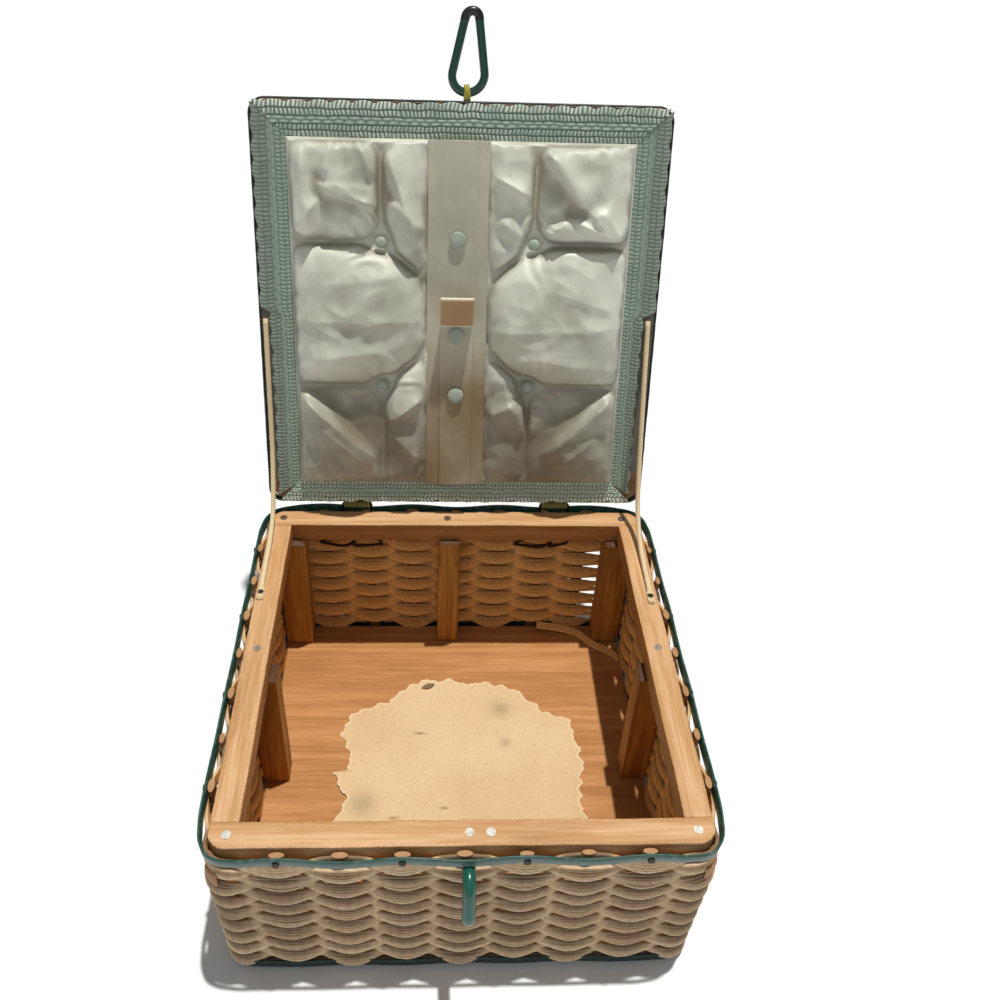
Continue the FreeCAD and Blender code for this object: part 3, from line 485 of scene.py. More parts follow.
def twill():
    """Twill from UV in millimetres: diagonal ribs, broken by crossing threads and slubs."""
    def wire(g, i):
        x, y, _ = g.split(i["UV"])
        slant = g.math("DIVIDE", g.math("MULTIPLY_ADD", y, i["Slant"], x), i["Pitch"])
        rib = g.span(g.math("SINE", g.times(slant, 2 * PI)), -1.0, 1.0)
        cross = g.span(g.math("SINE", g.times(y, 2 * PI / 0.55)), -1.0, 1.0)
        slub = g.noise(g.join(g.times(x, 0.05), g.times(y, 1.1)), 1.6, 3.0, 0.6)
        speck = g.noise(i["UV"], 0.9, 2.0, 0.7)
        height = g.math("MULTIPLY_ADD", cross, 0.25, rib)
        return {"Height": g.math("MULTIPLY_ADD", slub, 0.8, height), "Rib": rib, "Slub": slub,
                "Speck": g.span(speck, 0.66, 0.74)}
    return effect("Twill", {"UV": "v", "Slant": "f", "Pitch": "f"},
                  {"Height": "f", "Rib": "f", "Slub": "f", "Speck": "f"}, wire)


def mottle():
    """Uneven colour: a soft cloud mixes in a second colour, fine specks a third."""
    def wire(g, i):
        cloud = g.noise(i["Vector"], i["Scale"], 3.0, 0.6)
        speck = g.noise(i["Vector"], g.times(i["Scale"], 36.0), 1.0, 0.6)
        colour = g.mix(g.times(g.span(cloud, 0.42, 0.7), i["Amount"]), i["Colour"], i["Second"])
        colour = g.mix(g.times(g.span(speck, 0.62, 0.72), i["Specks"]), colour, i["Speck colour"])
        return {"Colour": colour, "Cloud": cloud, "Fine": speck}
    return effect("Mottle", {"Vector": "v", "Colour": "c", "Second": "c", "Speck colour": "c", "Scale": "f",
                             "Amount": "f", "Specks": "f"}, {"Colour": "c", "Cloud": "f", "Fine": "f"}, wire)


def wood(name, light, dark, stain, turn, rings=46.0, roughness=0.5, worn=False):
    """Sawn wood with its grain along the turned x axis; worn pieces have dark rough edges, and painted shade
    on the rails' inner faces and the posts' top ends.
    """
    def wire(g):
        vector = g.turned(g.place(), rotation=turn, location=(0.013, 0.007, 0.003))
        out = g.use(grain(), Vector=vector, Light=light, Dark=dark, Stain=stain, Rings=rings)
        colour = out["Colour"]
        if worn:
            edge = g.times(g.mark("edge"), g.span(g.noise(g.place(), 900.0, 1.0), 0.4, 0.7))
            colour = g.mix(g.times(edge, 0.4), colour, stain)
            # Painted shade: a rail's inner face is multiplied darker and warmer.
            colour = g.mix(g.mark("inner"), colour, (0.70, 0.53, 0.31), "MULTIPLY")
            # Painted shade: a post's top end is darkened.
            colour = g.mix(g.mark("end"), colour, tint("4e2c12"))
        dull = g.span(out["Blotch"], 0.3, 0.7, roughness, roughness + 0.2)
        return {"Base Color": colour, "Roughness": dull, "Normal": g.bump(out["Height"], 0.25, 0.0004)}
    return finish(name, wire)


ALONG_X, ALONG_Y, ALONG_Z = (0, 0, 0), (0, 0, PI / 2), (0, PI / 2, 0)


def pine(colours, turn, name):
    """Worn pine of the rails, its grain along the turned x axis, with painted shade on their inner faces."""
    return wood(name, colours.pine, colours.pine_grain, colours.wood_stain, turn, worn=True)


def wicker(colours):
    """Twisted paper cord: strands from UV, each cord its own tone; painted highlight on the lowest cord of a
    band, painted shade in the grooves and the hollows, painted warm bounce light on the inside.
    """
    def wire(g):
        lay = g.use(plies(), UV=g.uv(), Strands=2.0, Pitch=5.2)
        spots = g.use(mottle(), Vector=g.place(), Colour=colours.wicker, Second=colours.wicker_shade,
                      Speck_colour=tint("8a6545"), Scale=26.0, Amount=0.6, Specks=0.25)
        tone = g.mix(g.mark("tone"), spots["Colour"], colours.wicker_pale)
        # Painted warm bounce light on the inside of the walls.
        tone = g.mix(g.times(g.mark("inner"), 0.95), tone, colours.wicker_gold)
        # Painted shade in the grooves between strands.
        colour = g.mix(g.span(lay["Groove"], 0.0, 1.0, 0.35, 0.0), tone, colours.wicker_shade)
        # Painted shade in the hollows between bands and on the cords behind the rim strip.
        colour = g.mix(g.times(g.mark("hollow"), 0.8), colour, colours.wicker_deep)
        return {"Base Color": colour, "Roughness": g.span(lay["Fuzz"], 0.3, 0.7, 0.62, 0.82),
                "Normal": g.bump(lay["Height"], 0.35, 0.0002)}
    return finish("Paper wicker", wire)


def reed(colours):
    """Split reed: fibres along its length, and painted shade where a reed stands in the weave below its top
    end.
    """
    def wire(g):
        fibre = g.noise(g.turned(g.uv(), (0.05, 60.0, 1.0)), 1.0, 3.0, 0.6)
        cloud = g.noise(g.place(), 60.0, 3.0)
        colour = g.mix(g.span(fibre, 0.3, 0.7), colours.reed, colours.reed_dark)
        colour = g.mix(g.span(cloud, 0.5, 0.75, 0.0, 0.5), colour, tint("7a5128"))
        # Painted shade: the part of a reed inside the weave is darkened.
        colour = g.mix(g.times(g.mark("buried"), 0.8), colour, colours.wicker_deep)
        return {"Base Color": colour, "Roughness": 0.62, "Normal": g.bump(fibre, 0.3, 0.0003)}
    return finish("Split reed", wire)


def strip_plastic(name, base, pale, gloss):
    """Flat plastic strip: faint drawn lines along it, scuffs that pale it, and a painted grey highlight along
    its marked lower edge.
    """
    def wire(g):
        lines = g.noise(g.turned(g.uv(), (0.03, 30.0, 1.0)), 1.0, 2.0)
        scuff = g.noise(g.place(), 240.0, 4.0, 0.65)
        colour = g.mix(g.span(scuff, 0.5, 0.75, 0.0, 0.6), base, pale)
        # Painted grey highlight along the marked lower edge, broken by scuffs.
        colour = g.mix(g.times(g.mark("low"), g.span(scuff, 0.3, 0.6, 0.3, 0.9)), colour, pale)
        return {"Base Color": colour, "Roughness": g.span(scuff, 0.35, 0.7, gloss, gloss + 0.25),
                "Normal": g.bump(lines, 0.12, 0.0003)}
    return finish(name, wire)


def vinyl(name, base, second, gloss, dull):
    """Glossy vinyl tube: cloudy colour, fine scratches, and an end mark that dulls to grey."""
    def wire(g):
        spots = g.use(mottle(), Vector=g.place(), Colour=base, Second=second, Speck_colour=tint("9aa39c"),
                      Scale=120.0, Amount=0.5, Specks=0.12)
        colour = g.mix(g.mark("end"), spots["Colour"], dull)
        return {"Base Color": colour, "Roughness": g.span(spots["Cloud"], 0.35, 0.7, gloss, gloss + 0.18),
                "Coat Weight": 0.25, "Normal": g.bump(spots["Fine"], 0.05, 0.0003)}
    return finish(name, wire)


def iron(name, base, rust, metallic, share):
    """Old fastener: bare metal with rust blooms, whose share runs from the basket's front to its back."""
    def wire(g):
        amount = g.span(g.split(g.place())[1], -0.1, 0.08, *share)
        spots = g.use(mottle(), Vector=g.place(), Colour=base, Second=rust, Speck_colour=tint("2c1c12"),
                      Scale=420.0, Amount=amount, Specks=0.5)
        tone = g.mix(g.span(amount, 0.6, 1.6, 0.0, 0.8), spots["Colour"], rust)
        return {"Base Color": tone, "Metallic": metallic,
                "Roughness": g.span(spots["Cloud"], 0.35, 0.7, 0.28, 0.6),
                "Normal": g.bump(spots["Fine"], 0.25, 0.0003)}
    return finish(name, wire)


def paper(colours):
    """Torn kraft paper: fibres, grey stains, dark specks and a pale torn edge."""
    def wire(g):
        spots = g.use(mottle(), Vector=g.place(), Colour=colours.paper, Second=colours.paper_shade,
                      Speck_colour=tint("6d5233"), Scale=17.0, Amount=0.55, Specks=0.25)
        stain = g.span(g.mark("stain"), 0.0, 1.0, 0.0, 0.55)
        fibre = g.noise(g.turned(g.place(), (1.0, 0.35, 1.0)), 1300.0, 3.0, 0.7)
        colour = g.mix(stain, spots["Colour"], tint("8f7f63"))
        colour = g.mix(g.span(g.mark("edge"), 0.3, 1.0, 0.0, 0.7), colour, tint("e6d2ac"))
        colour = g.mix(g.span(fibre, 0.35, 0.75, 0.0, 0.3), colour, tint("c29a68"))
        colour = g.mix(g.times(g.mark("char"), 0.85), colour, tint("5a4228"))
        return {"Base Color": colour, "Roughness": 0.85, "Normal": g.bump(fibre, 0.35, 0.0004)}
    return finish("Kraft paper", wire)


def satin(name, base, shade, warm, slant):
    """Satin: twill ribs and slubs; a marked part painted in a third colour (painted warm shade and bounce
    light low on the lining and ribbon, a painted highlight on the tab's hem), painted shade in the creases; a
    soft sheen and an uneven gloss.
    """
    def wire(g):
        lie = g.use(twill(), UV=g.uv(), Slant=slant, Pitch=1.25)
        cloud = g.noise(g.place(), 22.0, 4.0, 0.6)
        colour = g.mix(g.span(cloud, 0.38, 0.68, 0.0, 0.8), base, shade)
        # Painted light: the marked part takes the third colour, warm shade low on the lining and ribbon, a
        # pale highlight on the tab's hem.
        colour = g.mix(g.times(g.mark("age"), g.span(cloud, 0.25, 0.6, 0.55, 1.0)), colour, warm)
        # Painted shade in the creases.
        colour = g.mix(g.times(g.mark("crease"), 0.75), colour, warm)
        colour = g.mix(g.span(lie["Rib"], 0.0, 0.7, 0.5, 0.0), colour, shade)
        colour = g.mix(g.times(lie["Speck"], 0.35), colour, tint("6f6a5c"))
        return {"Base Color": colour, "Roughness": g.span(lie["Slub"], 0.3, 0.7, 0.3, 0.46),
                "Sheen Weight": 0.25, "Sheen Roughness": 0.4, "Specular IOR Level": 0.6, "Anisotropic": 0.35,
                "Normal": g.bump(lie["Height"], 0.3, 0.00025)}
    return finish(name, wire)


def gimp(name, base, deep, pale, faded):
    """Woven braid: painted shade in the hollows, thread tops painted pale as the braid's pale threads and
    painted glints, a faded outer half.
    """
    def wire(g):
        thread = g.mark("thread")
        fibre = g.noise(g.place(), 1800.0, 2.0, 0.7)
        cloud = g.noise(g.place(), 70.0, 3.0)
        colour = g.mix(g.mark("fade"), base, faded)
        # Painted shade: the low parts of the relief take the deep colour.
        colour = g.mix(g.span(thread, 0.1, 0.6, 0.85, 0.0), colour, deep)
        # Pale thread tops: partly the braid's pale threads, partly painted glints, as much as the pale-thread
        # mark allows.
        lift = g.times(g.span(thread, 0.62, 0.95), g.span(cloud, 0.35, 0.62, 0.25, 1.0))
        colour = g.mix(g.times(lift, g.mark("bright")), colour, pale)
        return {"Base Color": colour, "Roughness": g.span(thread, 0.2, 0.9, 0.75, 0.45),
                "Sheen Weight": 0.3, "Normal": g.bump(fibre, 0.4, 0.0003)}
    return finish(name, wire)


def plait(name, base, shade, strands, pitch, roughness):
    """Cord finish: laid strands with fuzzy, shaded grooves."""
    def wire(g):
        lay = g.use(plies(), UV=g.uv(), Strands=strands, Pitch=pitch)
        colour = g.mix(g.span(lay["Groove"], 0.0, 1.0, 0.75, 0.0), base, shade)
        return {"Base Color": colour, "Roughness": roughness, "Sheen Weight": 0.2,
                "Normal": g.bump(lay["Height"], 0.5, 0.0003)}
    return finish(name, wire)


def cover(name, base, shade, scale):
    """Cloth-covered or card pieces: fine crossing threads over a cloudy colour."""
    def wire(g):
        spots = g.use(mottle(), Vector=g.place(), Colour=base, Second=shade, Speck_colour=tint("57564a"),
                      Scale=90.0, Amount=0.7, Specks=0.2)
        x, y, z = g.split(g.place())
        warp = g.math("SINE", g.times(x, scale))
        weft = g.math("SINE", g.times(g.math("ADD", y, z), scale))
        return {"Base Color": spots["Colour"], "Roughness": 0.55, "Sheen Weight": 0.2,
                "Normal": g.bump(g.times(warp, weft), 0.2, 0.0002)}
    return finish(name, wire)


# Sizes and colours a user would change

def length(name, description, default):
    """A length property."""
    return bpy.props.FloatProperty(name=name, description=description, default=default, unit="LENGTH",
                                   precision=5)


def number(name, description, default, low, high):
    """A whole-number property."""
    return bpy.props.IntProperty(name=name, description=description, default=default, min=low, max=high)


def colour(name, description, code):
    """A colour property, given as an sRGB code."""
    return bpy.props.FloatVectorProperty(name=name, description=description, default=tint(code),
                                         subtype="COLOR", size=3, min=0.0, max=1.0)


class BasketSizes(bpy.types.PropertyGroup):
    """Sizes of the dressed pieces."""

    strand: length("Weaving cord", "Thickness of one paper weaving cord", 2.1 * MM)
    spread: length("Band spread", "How much a band widens where it passes a reed", 4.7 * MM)
    swing: length("Weave swing", "How far a cord passes outside and inside the reeds", 2.35 * MM)
    lid_swing: length("Lid weave swing", "How far a lid cord passes over and under its reeds", 2.45 * MM)
    stitch: length("Braid stitch", "Length of one braid stitch", 2.35 * MM)
    scallop: length("Braid scallop", "Length of one scallop of the braid's edge", 12.5 * MM)
    crown: length("Lining crown", "Height of the padded lining above the lid's face", 13.0 * MM)
    stay: length("Stay cord", "Thickness of the stay cords", 3.0 * MM)
    bands: number("Bands", "Bands of cords up a wall", 16, 2, 40)
    cords: number("Cords in a band", "Cords that run together", 5, 2, 6)


class BasketColours(bpy.types.PropertyGroup):
    """Colours of the finishes."""

    wicker: colour("Wicker", "Paper weaving cord", "d4b38c")
    # Also the colour of the painted highlight on the lowest cord of a band.
    wicker_pale: colour("Pale wicker", "The palest weaving cords", "e8d0ac")
    # Colour of the painted warm bounce light on the inside, not the cord's own colour.
    wicker_gold: colour("Golden wicker", "Unfaded cord on the inside", "f0bc70")
    # Also the colour of the painted shade in the grooves between strands.
    wicker_shade: colour("Wicker shade", "Worn and dusty weaving cord", "8c6a4a")
    # Colour of the painted shade in the hollows between bands.
    wicker_deep: colour("Wicker hollow", "Dusty hollows between the bands", "4c3420")
    reed: colour("Reed", "Upright reeds", "c09468")
    reed_dark: colour("Reed fibre", "Dark fibres of the reeds", "94683c")
    pine: colour("Pine", "Rails, light wood", "d4ab80")
    pine_grain: colour("Pine grain", "Rails, grain lines", "bb8d5a")
    wood_stain: colour("Wood stain", "Stains and rough edges of the wood", "7a4c20")
    post: colour("Post", "Posts, light wood", "bf8838")
    post_grain: colour("Post grain", "Posts, grain lines", "93601c")
    board: colour("Board", "Bottom board, light wood", "c28b53")
    board_grain: colour("Board grain", "Bottom board, grain lines", "a6703a")
    paper: colour("Paper", "Torn paper on the floor", "d8bf98")
    paper_shade: colour("Paper shade", "Aged parts of the paper", "c6a77a")
    strip: colour("Strip", "Plastic strip round the basket", "124a3f")
    lid_strip: colour("Lid strip", "Plastic strip round the lid", "14201f")
    vinyl: colour("Clasp", "Vinyl of the clasp", "12584a")
    satin: colour("Satin", "Padded lining", "e2e5d8")
    satin_shade: colour("Satin shade", "Dull parts of the lining", "9a9d8c")
    # Colour of the painted warm shade and bounce light on the lower lining and in its creases, not
    # discolouring.
    satin_warm: colour("Satin age", "Discoloured parts of the satin", "6f624c")
    braid: colour("Braid", "Braid round the lining", "879c8d")
    # braid_deep is the colour of the painted shade in the braid's hollows; braid_pale is the pale thread
    # colour, also used for painted glints.
    braid_deep: colour("Braid hollow", "Hollows of the braid", "50655a")
    braid_pale: colour("Braid thread", "Pale threads of the braid", "e6ebe0")
    stay: colour("Stay cord", "Cotton stay cords", "e2cda6")
    button: colour("Buttons", "Covered buttons", "a4b0a2")
    hinge: colour("Hinge cord", "Cord wound round the hinge wire", "8a8a38")
    thread: colour("Thread", "Thread that ties the clasp loop", "b4a83a")


# Weave, reeds and strips

SIDES = ("front", "right", "back", "left")
CORNER = REEDS_EACH_WAY + 1

# Weave of a wall: heights of its ends and, from and to, of its zones
WEAVE_FOOT = 5.2
WEAVE_TOP = 101.0
BEHIND_STRIP = (92.0, 96.0)
# The painted hollow shade fades out over these heights.
DUST_FADES = (91.0, 98.0)
PALE_TOP = (92.0, 99.0)
SPLINT_ZONE = (80.0, 86.0)
FOOT_BOW = (13.0, 6.0)
FOOT_RISE = (14.0, 5.0)
RAIL_ZONE = (RAIL_UNDERSIDE - 3.0, RAIL_UNDERSIDE + 0.5)
RAIL_CLEAR = 0.25

# Places along a wall, counted in reeds: noise fades, the corner splint calms the cords, a loose place
STEADY_FROM = (3.5, 3.95)
CALM_FROM = (3.5, 3.85)
LOOSE_AT, LOOSE_WIDE, LOOSE_DROP = -3.45, 0.26, 3.75

WEAVE_STEPS = 121
WEAVE_SEED = 31
CORD_SIDES = 7


def weave_wall(side, sizes):
    """Cords in bands: out = swing cos(pi tau), bands alternate; a band spreads, its low cords stand out most.

    Towards the corners the noise fades, so that neighbouring walls meet; at the foot the cords rise
    where they cross between reeds.
    """
    rng = np.random.default_rng(WEAVE_SEED + side)
    thick = sizes.strand / MM
    cords = sizes.cords
    count = sizes.bands * cords
    tau = np.linspace(-CORNER, CORNER, WEAVE_STEPS)[None]
    row = np.arange(count)[:, None]
    low = WEAVE_FOOT + thick / 2
    z = low + (WEAVE_TOP - low) * row / (count - 1)
    wave = np.cos(PI * tau) * np.where(row // cords % 2 == 0, 1, -1)
    wave = np.sign(wave) * np.abs(wave) ** 0.9
    lift = (row % cords - (cords - 1) / 2) / (cords - 1)
    free = 1 - ease(np.abs(tau), *STEADY_FROM)
    z = z + free * (rng.normal(0, 0.10, (count, 1)) + 0.25 * ripple(70 + side, 9.0, tau * 3, z * 0.55))
    z = z + lift * sizes.spread / MM * 0.75 * np.abs(wave) ** 1.2
    swing = sizes.swing / MM * (1 + 0.05 * free * rng.normal(size=(count, 1)))
    swing = swing + np.where(wave > 0, 0.9, 0.3) * (0.5 - lift) * np.abs(wave)
    hidden = ease(z, *BEHIND_STRIP)
    # Painted shade: the upper cords of a band, under the overhang of the band above, and the inside cords
    # behind the rim strip; it fades out near the top.
    hollow = np.clip(0.5 + lift * 1.3, 0, 1) * np.abs(wave) ** 0.6 * (1 - ease(z, *DUST_FADES))
    hollow = hollow * np.where(wave > 0, 1.0, 0.6)
    hollow = np.maximum(hollow, 0.9 * hidden * ease(wave, 0.0, -0.5))
    # Painted warm bounce light: the inward sides of every cord, and the cords that pass inside the reeds
    # below the rim strip, take the golden colour.
    inward = ease(-np.cos(2 * PI * np.arange(CORD_SIDES) / CORD_SIDES), 0.1, 0.7)
    inner = np.maximum((ease(wave, -0.3, -0.75) * (1 - hidden))[..., None], inward)
    calm = 1 - 0.8 * ease(np.abs(tau), *CALM_FROM) * ease(z, *SPLINT_ZONE)
    out = wave * swing * calm + 0.3 * free * ripple(80 + side, 12.0, tau * 3, z)
    foot = ease(z, *FOOT_BOW) * np.clip(wave, 0, None)
    z = z + 3.0 * ease(z, *FOOT_RISE) * (1 - np.abs(wave) ** 0.8)
    z = np.maximum(z, low - 0.9)
    out = out + 0.5 * foot
    if SIDES[side] == "back":
        z = z - np.exp(-((tau - LOOSE_AT) / LOOSE_WIDE) ** 2) * lift * LOOSE_DROP
    lean = REED_OUT - WALL_LEAN * (1 - z / RIM_HEIGHT)
    tight = ease(z, *RAIL_ZONE)
    beside_rail = (thick / 2 + RAIL_CLEAR - lean) * tight - 9 * (1 - tight)
    out = np.where(tight > 0, np.maximum(out, beside_rail), out)
    fleck = np.random.default_rng(WEAVE_SEED).normal(size=(count, 1, 1))
    # Painted highlight: the lowest cord of each band, which stands out furthest, is paler.
    tone = 0.3 + 0.25 * fleck + 0.35 * (lift[..., None] < -0.3)
    tone = np.clip(tone + 0.2 * ease(z[:, :1, None], *PALE_TOP), 0, 1)
    return Shell().rod(rim_line(tau, side, z, out), thick * 0.5, CORD_SIDES, UP, tone=tone,
                       hollow=hollow[..., None], inner=inner)


class BASKET_OT_weave_walls(bpy.types.Operator):
    """Weave the four walls"""

    bl_idname = "basket.weave_walls"
    bl_label = "Weave walls"

    def execute(self, context):
        sizes = context.scene.basket_sizes
        material = wicker(context.scene.basket_colours)
        for side, label in enumerate(SIDES):
            piece = weave_wall(side, sizes).build(label + "_weave", material)
            dress(piece, "basket", "wicker", label + "_wall")
        self.loose_end(sizes, material)
        return {"FINISHED"}

    def loose_end(self, sizes, material):
        """Three cords that have come away at the foot of the back wall and lie before the corner post."""
        low, high = (np.array(c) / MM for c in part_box("back_right_post"))
        radius = sizes.strand / MM / 2
        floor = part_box("bottom_board")[1][2] / MM + radius
        front = low[1] - 1.6
        line = smooth_line((
            (60.0, 117.2, floor + 3.0), (74.0, 116.6, floor + 1.6), (90.0, 112.0, floor + 0.4),
            (low[0], front, floor), (high[0] - 3.0, front - 8.0, floor),
            (high[0] - 1.0, front - 14.0, floor + 0.4)))
        aside = np.array([-0.25, -1.9, 0.0])
        path = np.stack([line + aside * k + 0.35 * (2 - k) * UP for k in range(3)])
        # Painted warm bounce light, as on the inside of the walls.
        shell = Shell().rod(path, radius, CORD_SIDES, UP, tone=0.5, hollow=0.0, inner=1.0)
        dress(shell.build("loose_cords", material), "basket", "wicker")


REED_HALF = 3.7
REED_FLAT, SPLINT_FLAT = 0.42, 0.33
SPLINT_TOP = 103.0
SPLINT_OUT, SPLINT_BACK = (79.0, 82.0), (88.0, 99.0)
REED_SHOWS = (97.0, 102.0)
REED_STEPS, REED_SIDES = 48, 12


class BASKET_OT_stand_reeds(bpy.types.Operator):
    """Stand the reeds in the walls"""

    bl_idname = "basket.stand_reeds"
    bl_label = "Stand reeds"

    def execute(self, context):
        """Each reed is a slightly bowed, uneven flat oval rod; the corner splints are wider and flatter."""
        for side, label in enumerate(SIDES):
            whole = REEDS_EACH_WAY + (1 if side % 2 == 0 else 0)
            tau = np.arange(-whole, whole + 1, dtype=float)[:, None]
            rng = np.random.default_rng(90 + side)
            t = np.linspace(0, 1, REED_STEPS)[None]
            z = REED_ENDS[0] + (REED_ENDS[1] - REED_ENDS[0] + rng.uniform(-0.8, 0.4, tau.shape)) * t
            corner = (np.abs(tau) > REEDS_EACH_WAY) * 1.0
            z = np.where(corner > 0, np.minimum(z, SPLINT_TOP), z)
            flank = corner * (2.1 * ease(z, *SPLINT_OUT) - 0.4 - 1.9 * ease(z, *SPLINT_BACK))
            path = rim_line(tau, side, z, 0.1 * ripple(95 + side, 14.0, tau * 9, z) + flank)
            outward = unit(rim_line(tau, side, z, 1.0) - path)
            wide = REED_HALF * (1 + 0.08 * ripple(99 + side, 11.0, tau * 7, z)) * (1 + 0.1 * corner)
            flat = np.where(corner > 0, SPLINT_FLAT, REED_FLAT)[..., None, None]
            # Painted shade mask: below where the reed shows above the weave, corner splints excepted.
            buried = (1 - ease(z, *REED_SHOWS)) * (1 - corner)
            shell = Shell().rod(path, wide, REED_SIDES, outward, flat=flat, buried=buried[..., None])
            piece = shell.build(label + "_reed_rods", reed(context.scene.basket_colours), sharp=50)
            dress(piece, "basket", "reed", label + "_reeds")
        return {"FINISHED"}


# Strips of the basket: height, width, dip, bow, tuck at the corners, reach at front and back, at the sides
STRIPS = {"rim_strip": (105.5, 6.6, 1.2, 0.25, 1.6, (2.8, 2.2)),
          "foot_strip": (4.2, 7.4, 0.0, -0.4, 0.0, (2.8, 2.8))}
STRIP_THICK = 1.1
STRIP_STEPS = 96
TUCK_FROM = (3.4, 3.9)
LID_STRIP_WIDE = 6.2
LID_STRIP_DEPTH = -3.0
LID_STRIP_INSET = 0.55


def basket_strip(label):
    """Strip round the basket: its height dips and its reach bows with cos(pi tau)."""
    height, wide, dip, bow, hug, reach = STRIPS[label]
    paths, outs = [], []
    for side in range(len(SIDES)):
        tau = np.linspace(-CORNER, CORNER, STRIP_STEPS + 1)[:-1]
        wave = np.cos(PI * tau)
        z = height - dip * wave + 0.18 * ripple(12 + side, 8.0, tau * 4)
        base = reach[side % 2]
        tuck = hug * ease(np.abs(tau), *TUCK_FROM)
        paths.append(rim_line(tau, side, z, base + bow * (1 + wave) - tuck))
        outs.append(rim_line(tau, side, z, base + 1.0 + bow * (1 + wave) - tuck))
    path = np.concatenate(paths)
    way = unit(np.concatenate(outs) - path)
    tilt = unit(UP + 0.12 * way)
    section = band(path, way, tilt, STRIP_THICK, wide, bulge=0.12)
    return Shell().hoop(path, section, low=STRIP_LOW * (label == "rim_strip"))


def lid_strip(scallop):
    """Strip round the lid's edge: its height on the edge follows the braid's scallops."""
    line, way = round_oblong(LID_HALF, 0.0, LID_LENGTH, LID_ROUND, 2.0)
    run = along(line[None])[0]
    n = LID_STRIP_DEPTH + 0.45 * np.abs(np.sin(PI * run / scallop)) + 0.15 * ripple(5, 9.0, run)
    x, s = line.T
    way_x, way_s = way.T
    path = lid_point(x - way_x * LID_STRIP_INSET, s - way_s * LID_STRIP_INSET, n)
    out = unit(lid_point(x + way_x, s + way_s, n) - path)
    face = np.broadcast_to(LID_FACE, path.shape)
    return Shell().hoop(path, band(path, out, face, STRIP_THICK, LID_STRIP_WIDE, bulge=0.2))


class BASKET_OT_bind_strips(bpy.types.Operator):
    """Bind the rim, the foot and the lid's edge with flat strips"""

    bl_idname = "basket.bind_strips"
    bl_label = "Bind strips"

    def execute(self, context):
        colours = context.scene.basket_colours
        finishes = {"rim_strip": strip_plastic("Green strip", colours.strip, tint("74898a"), 0.3),
                    "foot_strip": strip_plastic("Foot strip", tint("0e2a25"), tint("2c4a44"), 0.4)}
        for label, material in finishes.items():
            piece = basket_strip(label).build(label + "_band", material)
            dress(piece, "basket", "green_strip", label)
        dark = strip_plastic("Dark strip", colours.lid_strip, tint("38403f"), 0.3)
        piece = lid_strip(context.scene.basket_sizes.scallop / MM).build("lid_edge_band", dark)
        dress(piece, "lid", "dark_strip", "lid_edge_strip")
        return {"FINISHED"}


# Wood and paper

BEAM_STEP = 2.5
BEAM_ROUND = 0.5
ARC_POINTS, FACE_POINTS = 4, 6
RING_POINTS = 4 * (ARC_POINTS + FACE_POINTS)


def beam_ring(half):
    """Rectangle with round edges: each quarter is a small arc, then points along the next face."""
    arc = np.linspace(0, PI / 2, ARC_POINTS)
    angle = (np.arange(4)[:, None] * PI / 2 + arc).reshape(-1)
    sign = np.repeat(np.array([(1, 1), (-1, 1), (-1, -1), (1, -1)]), ARC_POINTS, 0)
    ring = sign * (half - BEAM_ROUND) + BEAM_ROUND * np.stack([np.cos(angle), np.sin(angle)], -1)
    arcs = ring.reshape(4, ARC_POINTS, 2)
    share = np.linspace(0, 1, FACE_POINTS + 2)[1:-1, None]
    quarters = []
    for k in range(4):
        first, last = arcs[k][-1], arcs[(k + 1) % 4][0]
        quarters.append(np.concatenate([arcs[k], first + (last - first) * share]))
    return np.concatenate(quarters)


def beam(low, high, axis, seed, outer=None):
    """Sawn bar: a rounded rectangle carried along its axis, waved a little, its edges nicked by noise.

    A rail at the front or back (outer -1 or 1) has its outer corners rounded off.
    """
    low, high = np.array(low) / MM, np.array(high) / MM
    a, b = [i for i in range(3) if i != axis]
    span = high[axis] - low[axis]
    count = max(12, int(span / BEAM_STEP))
    t = np.concatenate([[0, 0.25], np.linspace(0.9, span - 0.9, count), [span - 0.25, span]])
    shrink = np.array([0.75, 0.25] + [0.0] * count + [0.25, 0.75])[:, None]
    half, middle = ((high - low) / 2)[[a, b]], ((high + low) / 2)[[a, b]]
    ring = beam_ring(half)
    edge = np.tile(np.concatenate([np.ones(ARC_POINTS), [0.25, 0, 0, 0, 0, 0.25]]), 4)
    x = t[:, None]
    nick = np.clip(ripple(seed, 3.0, x, np.arange(RING_POINTS) * 0.35) - 0.5, 0, None) * 0.16 * edge
    flat = ring[None] - unit(ring)[None] * (nick + shrink * 0.8)[..., None]
    flat = flat + 0.10 * np.stack([ripple(seed + 1, 30.0, x), ripple(seed + 2, 30.0, x)], -1)
    points = np.zeros((len(t), RING_POINTS, 3))
    points[..., axis] = low[axis] + x
    points[..., a] = middle[0] + flat[..., 0]
    points[..., b] = middle[1] + flat[..., 1]
    if outer:
        reach = np.clip(np.abs(points[..., axis]) - (high[axis] - RAIL_ROUND), 0, RAIL_ROUND)
        drop = RAIL_ROUND - np.sqrt(RAIL_ROUND ** 2 - reach ** 2)
        kept = low[1] if outer > 0 else high[1]
        points[..., 1] = kept + (points[..., 1] - kept) * (1 - drop / (high[1] - low[1]))
    # Painted shade mask on a rail's inner face; posts get none.
    inner = ease(-np.sign(middle[0]) * ring[:, 0] / half[0], 0.93, 0.99) * (axis < 2)
    uv = np.stack(np.broadcast_arrays(x, np.arange(RING_POINTS + 1) / RING_POINTS), -1)
    # The end mark paints shade on the top end of a post.
    return Shell().grid(points, uv, round_v=True, caps=True, closed=True, edge=edge, inner=inner,
                        end=ease(x, span - 1.0, span - 0.3) * (axis == 2))


